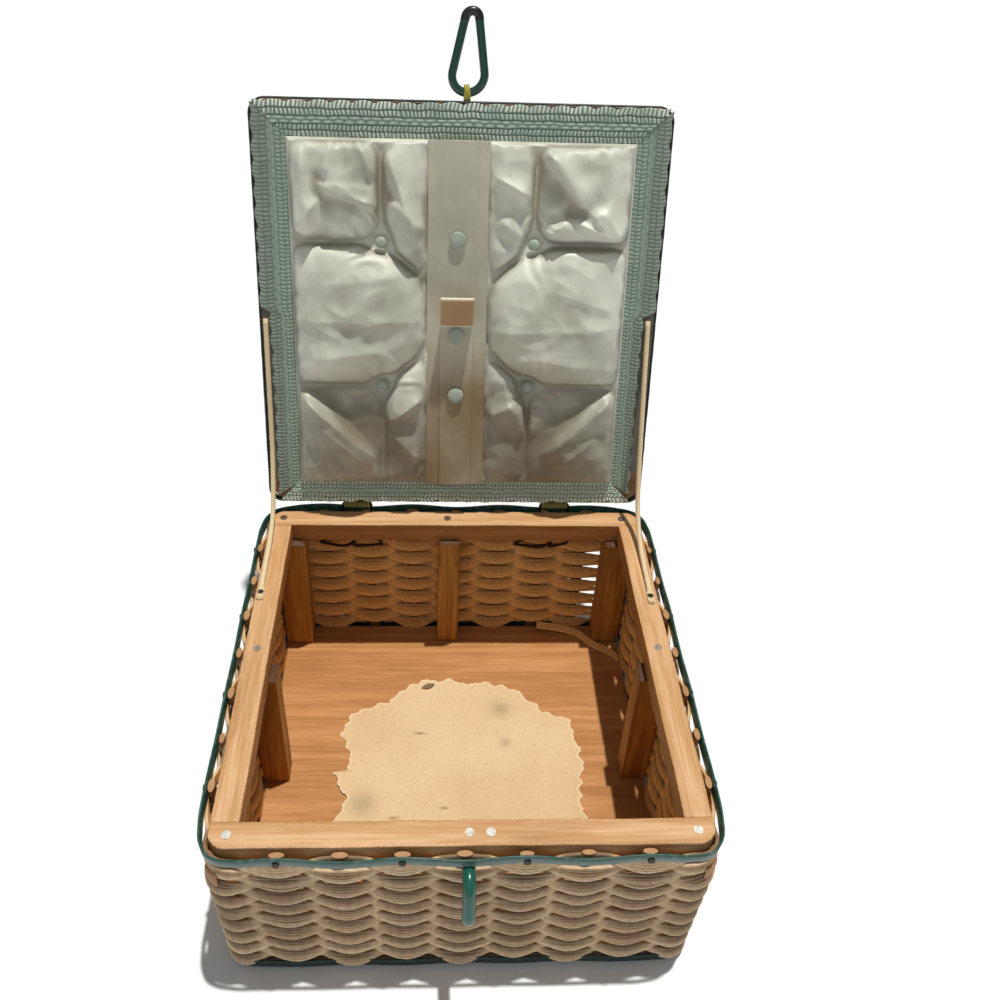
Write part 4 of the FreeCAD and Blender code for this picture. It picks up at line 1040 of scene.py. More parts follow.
class BASKET_OT_frame_wood(bpy.types.Operator):
    """Saw the rails and posts and finish the board and battens"""

    bl_idname = "basket.frame_wood"
    bl_label = "Frame wood"

    def execute(self, context):
        colours = context.scene.basket_colours
        stain = colours.wood_stain
        pine_x, pine_y = pine(colours, ALONG_X, "Pine along x"), pine(colours, ALONG_Y, "Pine along y")
        rails = (("front_rail", 0, -1, pine_x), ("back_rail", 0, 1, pine_x), ("left_rail", 1, None, pine_y),
                 ("right_rail", 1, None, pine_y))
        for seed, (node, axis, outer, material) in enumerate(rails):
            shell = beam(*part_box(node), axis, 200 + 7 * seed, outer)
            dress(shell.build(node + "_beam", material, sharp=40), "basket", "pine", node)
        posts = wood("Post wood", colours.post, colours.post_grain, stain, ALONG_Z, 40.0, 0.55, True)
        for seed, node in enumerate(("front_left", "front_mid", "front_right", "back_left", "back_mid",
                                     "back_right", "left_mid", "right_mid")):
            piece = beam(*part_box(node + "_post"), 2, 300 + 7 * seed).build(node + "_bar", posts, sharp=40)
            dress(piece, "basket", "post_wood", node + "_post")
        board = wood("Plywood", colours.board, colours.board_grain, stain, ALONG_X, 30.0, 0.5)
        batten = wood("Batten wood", tint("7c5a3c"), tint("5c4028"), stain, ALONG_X, 40.0, 0.6)
        felt = cover("Worn lid side", tint("5a5a4e"), tint("34362f"), 2600.0)
        card = cover("Grey card", tint("9a8a70"), tint("80705a"), 900.0)
        for node, material in (("bottom_board", board), ("lid_back_batten", batten),
                               ("lid_front_batten", batten), ("lid_left_batten", felt),
                               ("lid_right_batten", felt), ("backing_card", card)):
            repaint(node, material)
        return {"FINISHED"}


def repaint(node, material):
    """Give a frame node that stays in sight its finish."""
    mesh = frame["nodes"][node].data
    mesh.materials.clear()
    mesh.materials.append(material)


# Torn edge of the paper as shares of the board's size, round from the front left
PAPER_EDGE = (
    (-0.30, -0.262), (-0.17, -0.243), (-0.02, -0.27), (0.13, -0.247), (0.31, -0.258),
    (0.335, -0.168), (0.328, -0.095), (0.338, -0.031), (0.340, 0.035), (0.331, 0.082),
    (0.329, 0.142), (0.284, 0.157), (0.246, 0.183), (0.191, 0.238), (0.145, 0.261),
    (0.086, 0.277), (0.038, 0.272), (-0.009, 0.285), (-0.093, 0.282), (-0.134, 0.259),
    (-0.190, 0.206), (-0.225, 0.206), (-0.236, 0.189), (-0.284, 0.179), (-0.313, 0.101),
    (-0.283, 0.027), (-0.285, -0.019), (-0.319, -0.025), (-0.318, -0.051), (-0.290, -0.098),
    (-0.291, -0.128), (-0.314, -0.172),
)

# Stains as shares of the board with a radius in millimetres, cracks and the scrap in millimetres
PAPER_STAINS = ((0.130, 0.182, 7.0), (-0.243, -0.121, 9.0), (0.138, 0.065, 3.5))
PAPER_CRACKS = ((-22.6, 23.4, 3.5), (-7.6, -32.0, 2.2), (-37.9, -38.4, 3.0))
CRACK_WIDE = 0.7
PAPER_POINTS = 600
PAPER_RISE = 0.36
PAPER_LIFTS, PAPER_PALE = (0.93, 1.0), (0.955, 1.0)
SCRAP_PLACE = (-17.7, 61.4)
SCRAP_LONG, SCRAP_HALF = 9.0, 2.0


def doubled(mark):
    """Mark of a sheet's top, repeated on its underside, whose rows run back."""
    return np.concatenate([mark, mark[::-1]], 0)


class BASKET_OT_lay_paper(bpy.types.Operator):
    """Lay the torn paper on the floor"""

    bl_idname = "basket.lay_paper"
    bl_label = "Lay paper"

    def execute(self, context):
        """Rings shrink the torn outline towards its middle; noise frays the outline, and its edge lifts."""
        low, high = (np.array(c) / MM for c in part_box("bottom_board"))
        size = (high - low)[:2]
        corners = np.array(PAPER_EDGE) * size
        corners = np.concatenate([corners, corners[:1]])
        run = along(corners[None])[0]
        at = np.linspace(0, run[-1], PAPER_POINTS + 1)[:-1]
        rim = np.stack([np.interp(at, run, corners[:, i]) for i in range(2)], -1)
        fray = 0.9 * ripple(41, 4.0, at) + 0.45 * ripple(42, 1.3, at)
        middle = rim.mean(0)
        rim = rim + unit(rim - middle) * fray[:, None]
        share = np.concatenate([np.linspace(0.02, 0.93, 48), [0.95, 0.975, 0.99, 1.0]])[:, None]
        flat = middle + (rim - middle)[None] * share[..., None]
        x, y = flat[..., 0], flat[..., 1]
        lift = 0.5 * ease(share, *PAPER_LIFTS) * np.clip(ripple(43, 22.0, x, y), 0, 2)
        sag = 0.16 * (1 + ripple(44, 26.0, x, y))
        z = high[2] + PAPER_RISE + lift + sag
        top = np.concatenate([flat, z[..., None]], -1)
        under = np.concatenate([flat, np.full_like(z, high[2] + 0.02)[..., None]], -1)
        under[-1, :, 2] = top[-1, :, 2] - 0.22
        under[-2, :, 2] = np.minimum(top[-2, :, 2] - 0.24, high[2] + 0.1)
        edge = np.broadcast_to(ease(share, *PAPER_PALE), z.shape)
        stain = sum(np.exp(-((x - sx * size[0]) ** 2 + (y - sy * size[1]) ** 2) / r ** 2)
                    for sx, sy, r in PAPER_STAINS)
        cracks = sum(np.exp(-(((x - cx) / r) ** 2 + ((y - cy) / CRACK_WIDE) ** 2))
                     for cx, cy, r in PAPER_CRACKS)
        shell = Shell().grid(np.concatenate([top, under[::-1]], 0), round_v=True, caps=True, closed=True,
                             edge=doubled(edge), stain=doubled(stain), char=doubled(cracks))
        self.scrap(shell, high[2] + 0.8)
        piece = shell.build("torn_paper", paper(context.scene.basket_colours), sharp=60)
        dress(piece, "basket", "kraft_paper", "paper_liner")
        return {"FINISHED"}

    def scrap(self, shell, floor):
        """A small charred leaf at the torn edge: a pointed oval that curls up at its sides."""
        t = np.linspace(0, 1, 18)[:, None]
        v = np.linspace(-1, 1, 7)[None]
        half = SCRAP_HALF * np.sin(PI * np.clip(t, 0.02, 0.98)) ** 0.8
        x = SCRAP_PLACE[0] + SCRAP_LONG * (t - 0.5) * 0.95 - v * half * 0.3
        y = SCRAP_PLACE[1] + SCRAP_LONG * (t - 0.5) * 0.3 + v * half * 0.95
        z = floor + 0.5 * v ** 2 + 0.9 * t
        top = np.stack(np.broadcast_arrays(x, y, z), -1)
        shell.cloth(top, top - 0.3 * UP, char=np.ones(top.shape[:2]))


# Hinge wires: middle of each staple and, as x and z inside the wall, its left bend, twist and right bend
HINGE_X = 64.96
STAPLE_ARMS = {"left": (-HINGE_X, (-90.8, 85.8), (-71.5, 81.5), (-48.0, 84.3)),
               "right": (HINGE_X, (38.1, 84.7), (59.8, 81.2), (75.9, 85.3))}
STAPLE_LEG = 9.2
STAPLE_HEIGHTS = (92.6, 96.0, 111.6)
STAPLE_INSIDE = 117.9
WIRE_RADIUS = 1.0


class BASKET_OT_drive_nails(bpy.types.Operator):
    """Finish nails, tacks and hinge wires"""

    bl_idname = "basket.drive_nails"
    bl_label = "Drive nails"

    def execute(self, context):
        repaint("rail_nails", iron("Nail steel", tint("d8d6d0"), tint("6a4a2e"), 0.75, (0.4, 1.5)))
        repaint("strip_tacks", iron("Tack iron", tint("2a2826"), tint("4a3020"), 0.7, (0.6, 0.6)))
        repaint("stay_tacks", iron("Stay tack iron", tint("4a453e"), tint("5a3a24"), 0.8, (0.6, 0.6)))
        black = iron("Hinge wire", tint("1c1a18"), tint("3a2a1e"), 0.6, (0.6, 0.6))
        for label, places in STAPLE_ARMS.items():
            self.hinge_wire(label, *places, black)
        return {"FINISHED"}

    def hinge_wire(self, label, x, left, middle, right, material):
        """A staple: a bar along the hinge line, two legs through the wall, arms twisted together inside."""
        inside, outside, top = STAPLE_INSIDE, HINGE[1], HINGE[2]
        hole, shaft, bend = STAPLE_HEIGHTS
        start, end = x + STAPLE_LEG, x - STAPLE_LEG
        route = (
            (middle[0] + 4.5, inside - 0.6, middle[1] + 5.5),
            (middle[0] + 1.0, inside - 0.9, middle[1] + 0.8),
            (right[0] - 4, inside, right[1] - 0.6), (right[0], inside, right[1]),
            (start, inside + 0.8, hole), (start, outside, hole), (start, outside, shaft),
            (start, outside, bend),
            (x + 8.9, outside, top), (x + 8, outside, top), (x - 8, outside, top), (x - 8.9, outside, top),
            (end, outside, bend), (end, outside, shaft), (end, outside, hole), (end, inside + 0.8, hole),
            (left[0], inside, left[1]), (left[0] + 4, inside, left[1] - 0.9),
            (middle[0] - 0.6, inside - 1.4, middle[1] + 0.6),
            (middle[0] + 3.2, inside - 1.9, middle[1] + 5.9))
        shell = Shell().rod(smooth_line(route), WIRE_RADIUS, 8, np.array([0.31, 0.87, 0.38]))
        dress(shell.build(label + "_staple", material), "basket", "hinge_wire", label + "_hinge_wire")


# Cords

STAY_ROUTES = {
    "left": ((-117.0, 152.91, 233.26), (-117.0, 144.84, 206.4), (-117.0, 137.0, 176.43),
             (-117.0, 129.07, 149.53), (-117.0, 112.0, 120.55), (-117.0, 94.92, 112.3), (-117.0, 69.0, 111.1),
             (-117.0, 53.0, 110.8), (-117.0, 47.5, 109.75), (-117.0, 43.43, 109.65)),
    "right": ((115.56, 153.44, 235.15), (115.56, 142.18, 207.14), (115.56, 129.77, 178.43),
              (115.56, 118.0, 150.57), (115.56, 104.92, 126.1), (115.56, 85.89, 113.8),
              (115.56, 63.56, 111.25), (115.56, 50.0, 110.8), (115.56, 44.5, 109.75),
              (115.56, 40.36, 109.65)),
}
PRESSED_FROM = (8.0, 3.5)
YARNS = 26
YARN_RADIUS = 0.36


def smooth_line(route):
    """Points of the NURBS line that has the route as its control points, in millimetres."""
    curve = bpy.data.curves.new("route", "CURVE")
    curve.dimensions = "3D"
    curve.resolution_u = 16
    spline = curve.splines.new("NURBS")
    spline.points.add(len(route) - 1)
    spline.points.foreach_set("co", [c for p in route for c in (p[0] * MM, p[1] * MM, p[2] * MM, 1.0)])
    spline.order_u = 3
    spline.use_endpoint_u = True
    holder = bpy.data.objects.new("route", curve)
    bpy.context.scene.collection.objects.link(holder)
    bpy.context.view_layer.update()
    line = bpy.data.meshes.new_from_object(holder.evaluated_get(bpy.context.evaluated_depsgraph_get()))
    points = np.zeros(len(line.vertices) * 3, np.float32)
    line.vertices.foreach_get("co", points)
    bpy.data.objects.remove(holder)
    bpy.data.curves.remove(curve)
    bpy.data.meshes.remove(line)
    return points.reshape(-1, 3).astype(float) / MM


class BASKET_OT_hang_stays(bpy.types.Operator):
    """Hang the two cotton stay cords"""

    bl_idname = "basket.hang_stays"
    bl_label = "Hang stays"

    def execute(self, context):
        """Each cord is a braided tube on its route, pressed flat under its tack."""
        colours = context.scene.basket_colours
        thick = context.scene.basket_sizes.stay / MM
        cotton = plait("Braided cotton", colours.stay, tint("a8885c"), 4.0, 2.6, 0.8)
        for label, route in STAY_ROUTES.items():
            line = smooth_line(route)
            swell = 0.5 * thick * (1 + 0.03 * ripple(7, 5.0, np.arange(len(line)) * 1.0))
            pressed = ease(line[:, 1] - line[-1, 1], *PRESSED_FROM)
            thin = swell * (1 - 0.68 * pressed)
            broad = ((1 + 0.35 * pressed) / (1 - 0.68 * pressed))[None, :, None, None]
            piece = Shell().rod(line, thin, 10, ACROSS, flat=broad).build(label + "_stay", cotton)
            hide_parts(label + "_stay_cord")
            fray = self.frayed_end(label, np.array(route[-1]), cotton)
            run = float(along(line[None])[0, -1])
            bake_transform(piece)
        return {"FINISHED"}

    def frayed_end(self, label, end, material):
        """Loose yarns beyond the tack: short straight ends that fan out and thin towards their tips."""
        rng = np.random.default_rng(17 if label == "left" else 18)
        t = np.linspace(0, 1, 7)[None]
        fan = rng.uniform(-1, 1, (YARNS, 1))
        reach = rng.uniform(3.5, 6.0, (YARNS, 1))
        x = end[0] + fan * (1.5 + 0.4 * t)
        y = end[1] + 1.2 - reach * t
        z = end[2] + 0.15 + 0.25 * rng.uniform(-1, 1, (YARNS, 1)) * t
        path = np.stack(np.broadcast_arrays(x, y, z), -1)
        piece = Shell().rod(path, YARN_RADIUS * (1 - 0.5 * t), 5, UP).build(label + "_stay_fray", material)
        return dress(piece, "basket", "cotton_cord")


def helix(x_ends, middle, radius, turns, steps):
    """Coil round an axis along x: x runs evenly, y and z circle the middle."""
    t = np.linspace(0, 1, steps)
    angle = 2 * PI * turns * t
    x = x_ends[0] + (x_ends[1] - x_ends[0]) * t
    return np.stack([x, middle[0] + radius * np.cos(angle), middle[1] + radius * np.sin(angle)], -1)


COIL_HALF = 8.4
COIL_RADIUS = 1.88
COIL_TURNS = 11
COIL_CORD, TAIL_CORD = 0.72, 0.66
TAIL_STEPS = 12


class BASKET_OT_wind_hinges(bpy.types.Operator):
    """Wind the hinge cords round their wires"""

    bl_idname = "basket.wind_hinges"
    bl_label = "Wind hinges"

    def execute(self, context):
        """A close coil round the hinge wire with two tails laid into the lid's edge."""
        waxed = plait("Waxed cord", context.scene.basket_colours.hinge, tint("4c4c18"), 2.0, 1.1, 0.5)
        for label, x in (("left", -HINGE_X), ("right", HINGE_X)):
            coil = helix((x - COIL_HALF, x + COIL_HALF), HINGE[1:], COIL_RADIUS, COIL_TURNS, 265)
            shell = Shell().rod(coil, COIL_CORD, 8, ACROSS)
            for end in (-1, 1):
                t = np.linspace(0, 1, TAIL_STEPS)
                tail = np.stack([np.full(TAIL_STEPS, x + end * COIL_HALF),
                                 HINGE[1] + COIL_RADIUS * np.cos(t * 1.9),
                                 HINGE[2] + COIL_RADIUS * np.sin(t * 1.9) + 2.2 * t ** 2], -1)
                shell.rod(tail, TAIL_CORD, 8, ACROSS)
            dress(shell.build(label + "_hinge_coil", waxed), "lid", "hinge_cord", label + "_hinge_winding")
        return {"FINISHED"}


# Clasp

LOOP_BIG, LOOP_TIP, LOOP_LONG = 9.1, 3.9, 42.1
LOOP_PIVOT = LID_LENGTH + 4.55
LOOP_DEPTH = -3.0
LOOP_SLANT = 0.055
LOOP_RADIUS = 2.4
LOOP_BOWED = 42.0
SLEEVE_DARK, SLEEVE_STEP = (37.0, 37.6), (36.8, 37.2)
TIE_HALF, TIE_RADIUS = 1.5, 3.95
PEG_RADIUS = 3.2
PEG_START, PEG_BEND = (-126.0, 99.0), (-130.6, 99.0)
PEG_ARC, PEG_TAIL = 8.0, 13.2
PEG_SLOPE = (-6.5, -18.3)
NOSE_POINTS = 8


def loop_line(count):
    """Teardrop of two arcs joined by tangents, in even steps: x across and s from its round end."""
    swell = math.asin((LOOP_BIG - LOOP_TIP) / (LOOP_LONG - LOOP_TIP - LOOP_BIG))
    first = np.linspace(-PI / 2, swell, 40)
    last = np.linspace(swell, PI / 2, 24)
    wide = np.stack([LOOP_BIG * np.cos(first), LOOP_BIG + LOOP_BIG * np.sin(first)], -1)
    narrow = np.stack([LOOP_TIP * np.cos(last), LOOP_LONG - LOOP_TIP + LOOP_TIP * np.sin(last)], -1)
    half = np.concatenate([wide, narrow])
    whole = np.concatenate([half, (half * np.array([-1, 1]))[::-1][1:]])
    run = along(whole[None])[0]
    at = np.linspace(0, run[-1], count + 1)[:-1]
    return np.stack([np.interp(at, run, whole[:, i]) for i in range(2)], -1)


class BASKET_OT_set_clasp(bpy.types.Operator):
    """Set the clasp's peg, loop and thread"""

    bl_idname = "basket.set_clasp"
    bl_label = "Set clasp"

    def execute(self, context):
        colours = context.scene.basket_colours
        self.loop()
        self.thread(colours)
        self.peg(colours)
        return {"FINISHED"}

    def loop(self):
        """A tube along the teardrop, slightly bowed and slanted, with a short sleeve at its tip."""
        x, s = loop_line(180).T
        bow = 0.35 * np.sin(s / LOOP_BOWED * PI)
        path = lid_point(CLASP_X + x + LOOP_SLANT * s, LOOP_PIVOT + s, LOOP_DEPTH + bow)
        dark = vinyl("Loop vinyl", tint("0f3f35"), tint("0a2a26"), 0.2, tint("131615"))
        tip = ease(s, *SLEEVE_DARK) * 0.9
        size = LOOP_RADIUS * (1 + 0.06 * ease(s, *SLEEVE_STEP))
        shell = Shell().rod(path, size, 14, LID_FACE, loop=True, end=tip[:, None])
        dress(shell.build("loop_tube", dark), "clasp_loop", "dark_vinyl", "clasp_loop")

    def thread(self, colours):
        """Three turns round the loop, with two tails that run into the lid's edge."""
        middle = lid_point(0.0, LOOP_PIVOT, LOOP_DEPTH)
        turns = helix((CLASP_X - TIE_HALF, CLASP_X + TIE_HALF), middle[1:], TIE_RADIUS, 3, 120)
        shell = Shell().rod(turns, 0.55, 7, ACROSS)
        for end in (-1, 1):
            t = np.linspace(0, 1, 14)
            tail = lid_point(CLASP_X + end * TIE_HALF, LOOP_PIVOT - 6.0 * t,
                             LOOP_DEPTH + TIE_RADIUS * np.cos(t * PI / 2) * 0.9)
            shell.rod(tail, 0.5, 7, ACROSS)
        tie = plait("Tie thread", colours.thread, tint("6c6420"), 2.0, 0.9, 0.6)
        dress(shell.build("tie_thread", tie), "lid", "tie_thread", "clasp_thread")

    def peg(self, colours):
        """A bar that leaves the weave level, bends down on an arc and ends in a round nose."""
        start, bend_in = np.array(PEG_START), np.array(PEG_BEND)
        slope = unit(np.array(PEG_SLOPE))
        angle = np.linspace(0, math.atan2(-slope[1], -slope[0]), 22)
        arc = bend_in + PEG_ARC * np.stack([-np.sin(angle), np.cos(angle) - 1], -1)
        tip = arc[-1] + slope * PEG_TAIL
        share = np.linspace(0, 1, 12)[:, None]
        ahead = np.linspace(0, 1, NOSE_POINTS + 1)[1:]
        line = np.concatenate([start * (1 - share) + bend_in * share, arc[1:],
                               (arc[-1] * (1 - share) + tip * share)[1:],
                               tip + slope * PEG_RADIUS * ahead[:, None]])
        nose = PEG_RADIUS * np.sqrt(np.clip(1 - ahead ** 2, 0.004, 1))
        size = np.concatenate([np.full(len(line) - NOSE_POINTS, PEG_RADIUS), nose])
        path = np.stack([np.full(len(line), CLASP_X), line[:, 0], line[:, 1]], -1)
        run = along(path[None])[0]
        end = ease(run, run[-1] - 6.0, run[-1] - 1.0) * 0.75
        green = vinyl("Peg vinyl", colours.vinyl, tint("0c4038"), 0.16, tint("7f8b86"))
        shell = Shell().rod(path, size, 18, ACROSS, end=end[:, None])
        dress(shell.build("peg_bar", green), "basket", "green_vinyl", "clasp_peg")


# Lid

LID_CORD_PITCH = 2.04
LID_CORDS = 3
LID_INSET = 3.5
LID_MIDDLE = -9.5
LID_TOP_FACES = (-13.0, -6.2)
LID_REED_RADIUS = 1.6
LID_CORD_END = 2.5
LID_SINKS, LID_SPREADS = (112.0, 119.0), (120.0, 108.0)
LID_STEPS = 97

# Cords of the lid's border: inset from the edge, depth, radius
LID_BORDER = ((2.9, -7.5, 1.35), (2.6, -9.6, 1.45), (3.0, -11.6, 1.35))


class BASKET_OT_weave_lid(bpy.types.Operator):
    """Weave the lid's top"""

    bl_idname = "basket.weave_lid"
    bl_label = "Weave lid"

    def execute(self, context):
        sizes, colours = context.scene.basket_sizes, context.scene.basket_colours
        shell = self.cords(sizes)
        self.border(shell)
        dress(shell.build("lid_top_weave", wicker(colours)), "lid", "wicker", "lid_weave")
        x = np.arange(-REEDS_EACH_WAY, REEDS_EACH_WAY + 1)[:, None] * REED_PITCH
        s = np.linspace(1.0, LID_LENGTH - 1.0, 40)[None]
        rods = lid_point(x, s, LID_MIDDLE + 0.05 * ripple(64, 30.0, s + x))
        piece = Shell().rod(rods, LID_REED_RADIUS, 8, LID_FACE).build("lid_reed_rods", reed(colours))
        dress(piece, "lid", "reed", "lid_reeds")
        return {"FINISHED"}

    def cords(self, sizes):
        """Cords across the lid: n = middle - swing cos(pi x / pitch), bands of three alternate."""
        thick = sizes.strand / MM
        rng = np.random.default_rng(61)
        span = LID_LENGTH - 2 * LID_INSET
        count = int(span / LID_CORD_PITCH)
        row = np.arange(count)[:, None]
        s = LID_INSET + span * row / (count - 1)
        x = np.linspace(-LID_HALF + LID_CORD_END, LID_HALF - LID_CORD_END, LID_STEPS)[None]
        wave = np.cos(PI * x / REED_PITCH) * np.where(row // LID_CORDS % 2 == 0, 1, -1)
        n = LID_MIDDLE - wave * sizes.lid_swing / MM + 0.2 * ripple(62, 14.0, x, s)
        low, high = LID_TOP_FACES
        n = np.clip(n + ease(np.abs(x), *LID_SINKS) * 1.2, low + thick / 2, high - thick / 2)
        lie = s + 0.12 * rng.normal(size=s.shape) + 0.2 * ripple(63, 12.0, x, s)
        lie = lie + (row % LID_CORDS - 1) * 1.9 * np.abs(wave) ** 1.2 * ease(np.abs(x), *LID_SPREADS)
        lie = np.clip(lie, 3.0, LID_LENGTH - 3.0)
        tone = np.clip(0.35 + 0.3 * rng.normal(size=(count, 1, 1)), 0, 1)
        return Shell().rod(lid_point(x, lie, n), thick * 0.5, 6, LID_ALONG, tone=tone)

    def border(self, shell):
        """Three waving rings of cord that hide the cords' ends."""
        line, way = round_oblong(LID_HALF, 0.0, LID_LENGTH, LID_ROUND, 3.0)
        run = along(line[None])[0]
        for inset, depth, size in LID_BORDER:
            ring = lid_point(line[:, 0] - way[:, 0] * inset, line[:, 1] - way[:, 1] * inset,
                             depth + 0.25 * np.sin(run * 2 * PI / REED_PITCH + depth))
            shell.rod(ring, size, 8, LID_FACE, loop=True, tone=0.3)


BRAID_HALF = 118.8
BRAID_NEAR, BRAID_FAR = 1.4, LID_LENGTH - 2.2
BRAID_WIDE = 18.2
HINGE_BRAID_HALF, HINGE_BRAID_WIDE = 113.6, 13.0
BRAID_STEP_AT = 126.0
BRAID_COLUMNS = 46
BRAID_GRAIN = 0.42


def braid_relief(run, t, stitch):
    """Braid height from 0 to 1: loops at the edges and beside them, two rows of woven dashes between."""
    def row(low, high, value):
        return ease(t, low, low + 0.035) * (1 - ease(t, high - 0.035, high)) * value

    lean = t * 1.6
    loop = np.abs(np.sin(PI * (run / stitch + lean))) ** 0.7
    back = np.abs(np.sin(PI * (run / stitch - lean + 0.5))) ** 0.7
    lane = np.clip((t - 0.40) / 0.24 * 2, 0, 1.999)
    which = np.floor(lane)
    dash = np.abs(np.cos(PI * (run / (stitch * 2.6) + 0.5 * which))) ** 0.4
    dash = dash * np.sin(PI * (lane - which)) ** 0.5
    return (row(-0.1, 0.20, loop) + row(0.20, 0.40, back * 0.9) + row(0.40, 0.64, 0.25 + 0.6 * dash)
            + row(0.64, 0.83, loop * 0.9) + row(0.83, 1.1, back * 0.95))


def front_place(run, w, n):
    """Place on the front braid: run across the lid, w in from its free edge."""
    return lid_point(run, BRAID_FAR - w, n)


def hinge_place(run, w, n):
    """Place on the hinge braid: run across the lid, w in from its hinge edge."""
    return lid_point(run, BRAID_NEAR + w, n)


def left_place(run, w, n):
    """Place on the left braid: run up the lid, w in from its left edge."""
    return lid_point(-BRAID_HALF + w, run, n)


def right_place(run, w, n):
    """Place on the right braid: run up the lid, w in from its right edge."""
    return lid_point(BRAID_HALF - w, run, n)


def sew_braid(place, start, end, width, near_mitre, sizes, seed, step=None):
    """Closed strip of braid: place(run, w, n) puts it on the lid; its ends are mitred, its edges scalloped.

    The mitre at the start may be steeper than the one at the end, which runs at 45 degrees.
    A side braid has a step: below BRAID_STEP_AT its outer edge stands back by that much, and it is worn.
    """
    u = np.linspace(0, 1, int(abs(end - start) / BRAID_GRAIN))[:, None]
    t = np.linspace(0, 1, BRAID_COLUMNS)[None]
    run = start + (end - start) * u + 0 * t
    # The pale-thread mark sets the pale tops and painted glints: few on a side braid, more on the others.
    if step:
        inset = step * (1 - ease(run, BRAID_STEP_AT - 1.2, BRAID_STEP_AT + 1.2))
        height, fade, bright = 0.7, 0.75 * (1 - ease(t, 0.35, 0.6)), 0.16
    else:
        inset = 0.0
        height, fade, bright = 1.05, 0.0, 0.6 + 0.4 * (1 - ease(t, 0.25, 0.45)) + 0.2 * ease(t, 0.75, 0.95)
    w = inset + (width - inset) * t
    run = start + near_mitre * w + (end - start - (near_mitre + 1) * w) * u
    scallop = np.abs(np.sin(PI * run / (sizes.scallop / MM)))
    w = w - 1.3 * scallop * (1 - t) ** 7 + 0.45 * np.abs(np.sin(PI * run / 7.0)) * t ** 10
    w = w + 0.18 * ripple(seed, 7.0, run, w)
    relief = braid_relief(run + 0.25 * ripple(seed + 1, 5.0, run, w), t, sizes.stitch / MM)
    crest = np.sin(PI * np.clip(t, 0.02, 0.98)) ** 0.25
    n = 0.30 + height * relief * crest + 0.12 * ripple(seed + 2, 18.0, run, w)
    return Shell().cloth(place(run, w, np.maximum(n, 0.25)), place(run, w, np.full_like(n, 0.04)),
                         wrapped_uv(run, w), thread=relief, fade=fade + 0 * run, bright=bright + 0 * run)


class BASKET_OT_sew_braid(bpy.types.Operator):
    """Sew the braid round the lining"""

    bl_idname = "basket.sew_braid"
    bl_label = "Sew braid"

    def execute(self, context):
        sizes, colours = context.scene.basket_sizes, context.scene.basket_colours
        base, deep, pale = colours.braid, colours.braid_deep, colours.braid_pale
        fresh = gimp("Braid", base, deep, pale, tint("6a766a"))
        # Painted light: a lighter copy of the braid finish for the hinge braid, which lies in shade.
        shiny = gimp("Hinge braid", tint("a9bfae"), tint("6c8478"), tint("f4f7f0"), tint("6a766a"))
        rubbed = gimp("Side braid", base, tint("6c8175"), pale, tint("727d72"))
        half, hinge_half = BRAID_HALF, HINGE_BRAID_HALF
        for node, material, shell in (
                ("front_braid", fresh, sew_braid(front_place, -half, half, BRAID_WIDE, 1, sizes, 110)),
                ("hinge_braid", shiny,
                 sew_braid(hinge_place, -hinge_half, hinge_half, HINGE_BRAID_WIDE, 1, sizes, 120)),
                ("left_braid", rubbed,
                 sew_braid(left_place, BRAID_NEAR, BRAID_FAR, BRAID_WIDE, 0.7, sizes, 130, 5.2)),
                ("right_braid", rubbed,
                 sew_braid(right_place, BRAID_NEAR, BRAID_FAR, BRAID_WIDE, 0.7, sizes, 140, 7.0))):
            dress(shell.build(node + "_gimp", material), "lid", "green_braid", node)
        return {"FINISHED"}


LINING_HALF = 100.3
LINING_LOW, LINING_HIGH = 14.7, 225.2
LINING_LONG = 210.5
LINING_ROWS, LINING_COLUMNS = 247, 235

# Pleats run from each tuft to the lining's end, to its side and to the ribbon
PLEATS = [line for tx, edge, rib in ((TUFTS_X[0], -LINING_HALF, RIBBON_SIDES[0]),
                                     (TUFTS_X[1], LINING_HALF, RIBBON_SIDES[1]))
          for ts, far, turn in ((TUFTS_S[0], LINING_LOW, 1), (TUFTS_S[1], LINING_HIGH, -1))
          for line in ((tx, ts, tx, far), (tx, ts, edge, ts), (tx, ts, rib, ts + turn * 22.0))]

# Folds of the satin: from x, s to x, s, then height and the slope widths left and right of that way
FOLDS = (
    (-82, 200, -47, 187, 3.4, 10, 2.4), (-92, 223, -88, 172, 2.0, 4, 7), (-74, 226, -78, 204, 1.7, 3, 6),
    (-60, 226, -51, 203, 1.6, 5, 3), (-100, 170, -82, 192, 1.6, 6, 3), (44, 225, 73, 188, 3.6, 13, 2.4),
    (73, 188, 101, 165, 3.2, 12, 3), (45, 170, 63, 184, 2.4, 2.4, 9), (63, 184, 99, 168, 2.4, 3, 9),
    (-44, 219, -23, 160, 1.9, 6, 3), (-41, 192, -21, 174, 1.6, 3, 5), (18, 206, 41, 194, 2.0, 6, 2.4),
    (22, 182, 39, 168, 1.7, 5, 3), (-101, 80, -51, 33, 2.6, 2.6, 12), (-86, 56, -55, 28, 1.1, 3, 7),
    (101, 80, 51, 35, 2.6, 11, 2.6), (88, 50, 62, 29, 1.1, 7, 3), (-21, 74, -45, 56, 2.4, 3, 8),
    (-43, 52, -23, 30, 1.3, 5, 3), (17, 62, 35, 71, 2.1, 3, 7), (35, 71, 42, 46, 1.9, 6, 3),
    (-101, 121, -22, 122, 0.8, 7, 4), (18, 115, 99, 119, 0.8, 7, 4), (52, 142, 96, 128, 0.6, 8, 4),
    (-88, 143, -36, 149, 0.6, 5, 9), (-90, 98, -40, 104, 0.5, 8, 5), (30, 100, 92, 94, 0.5, 5, 9),
)

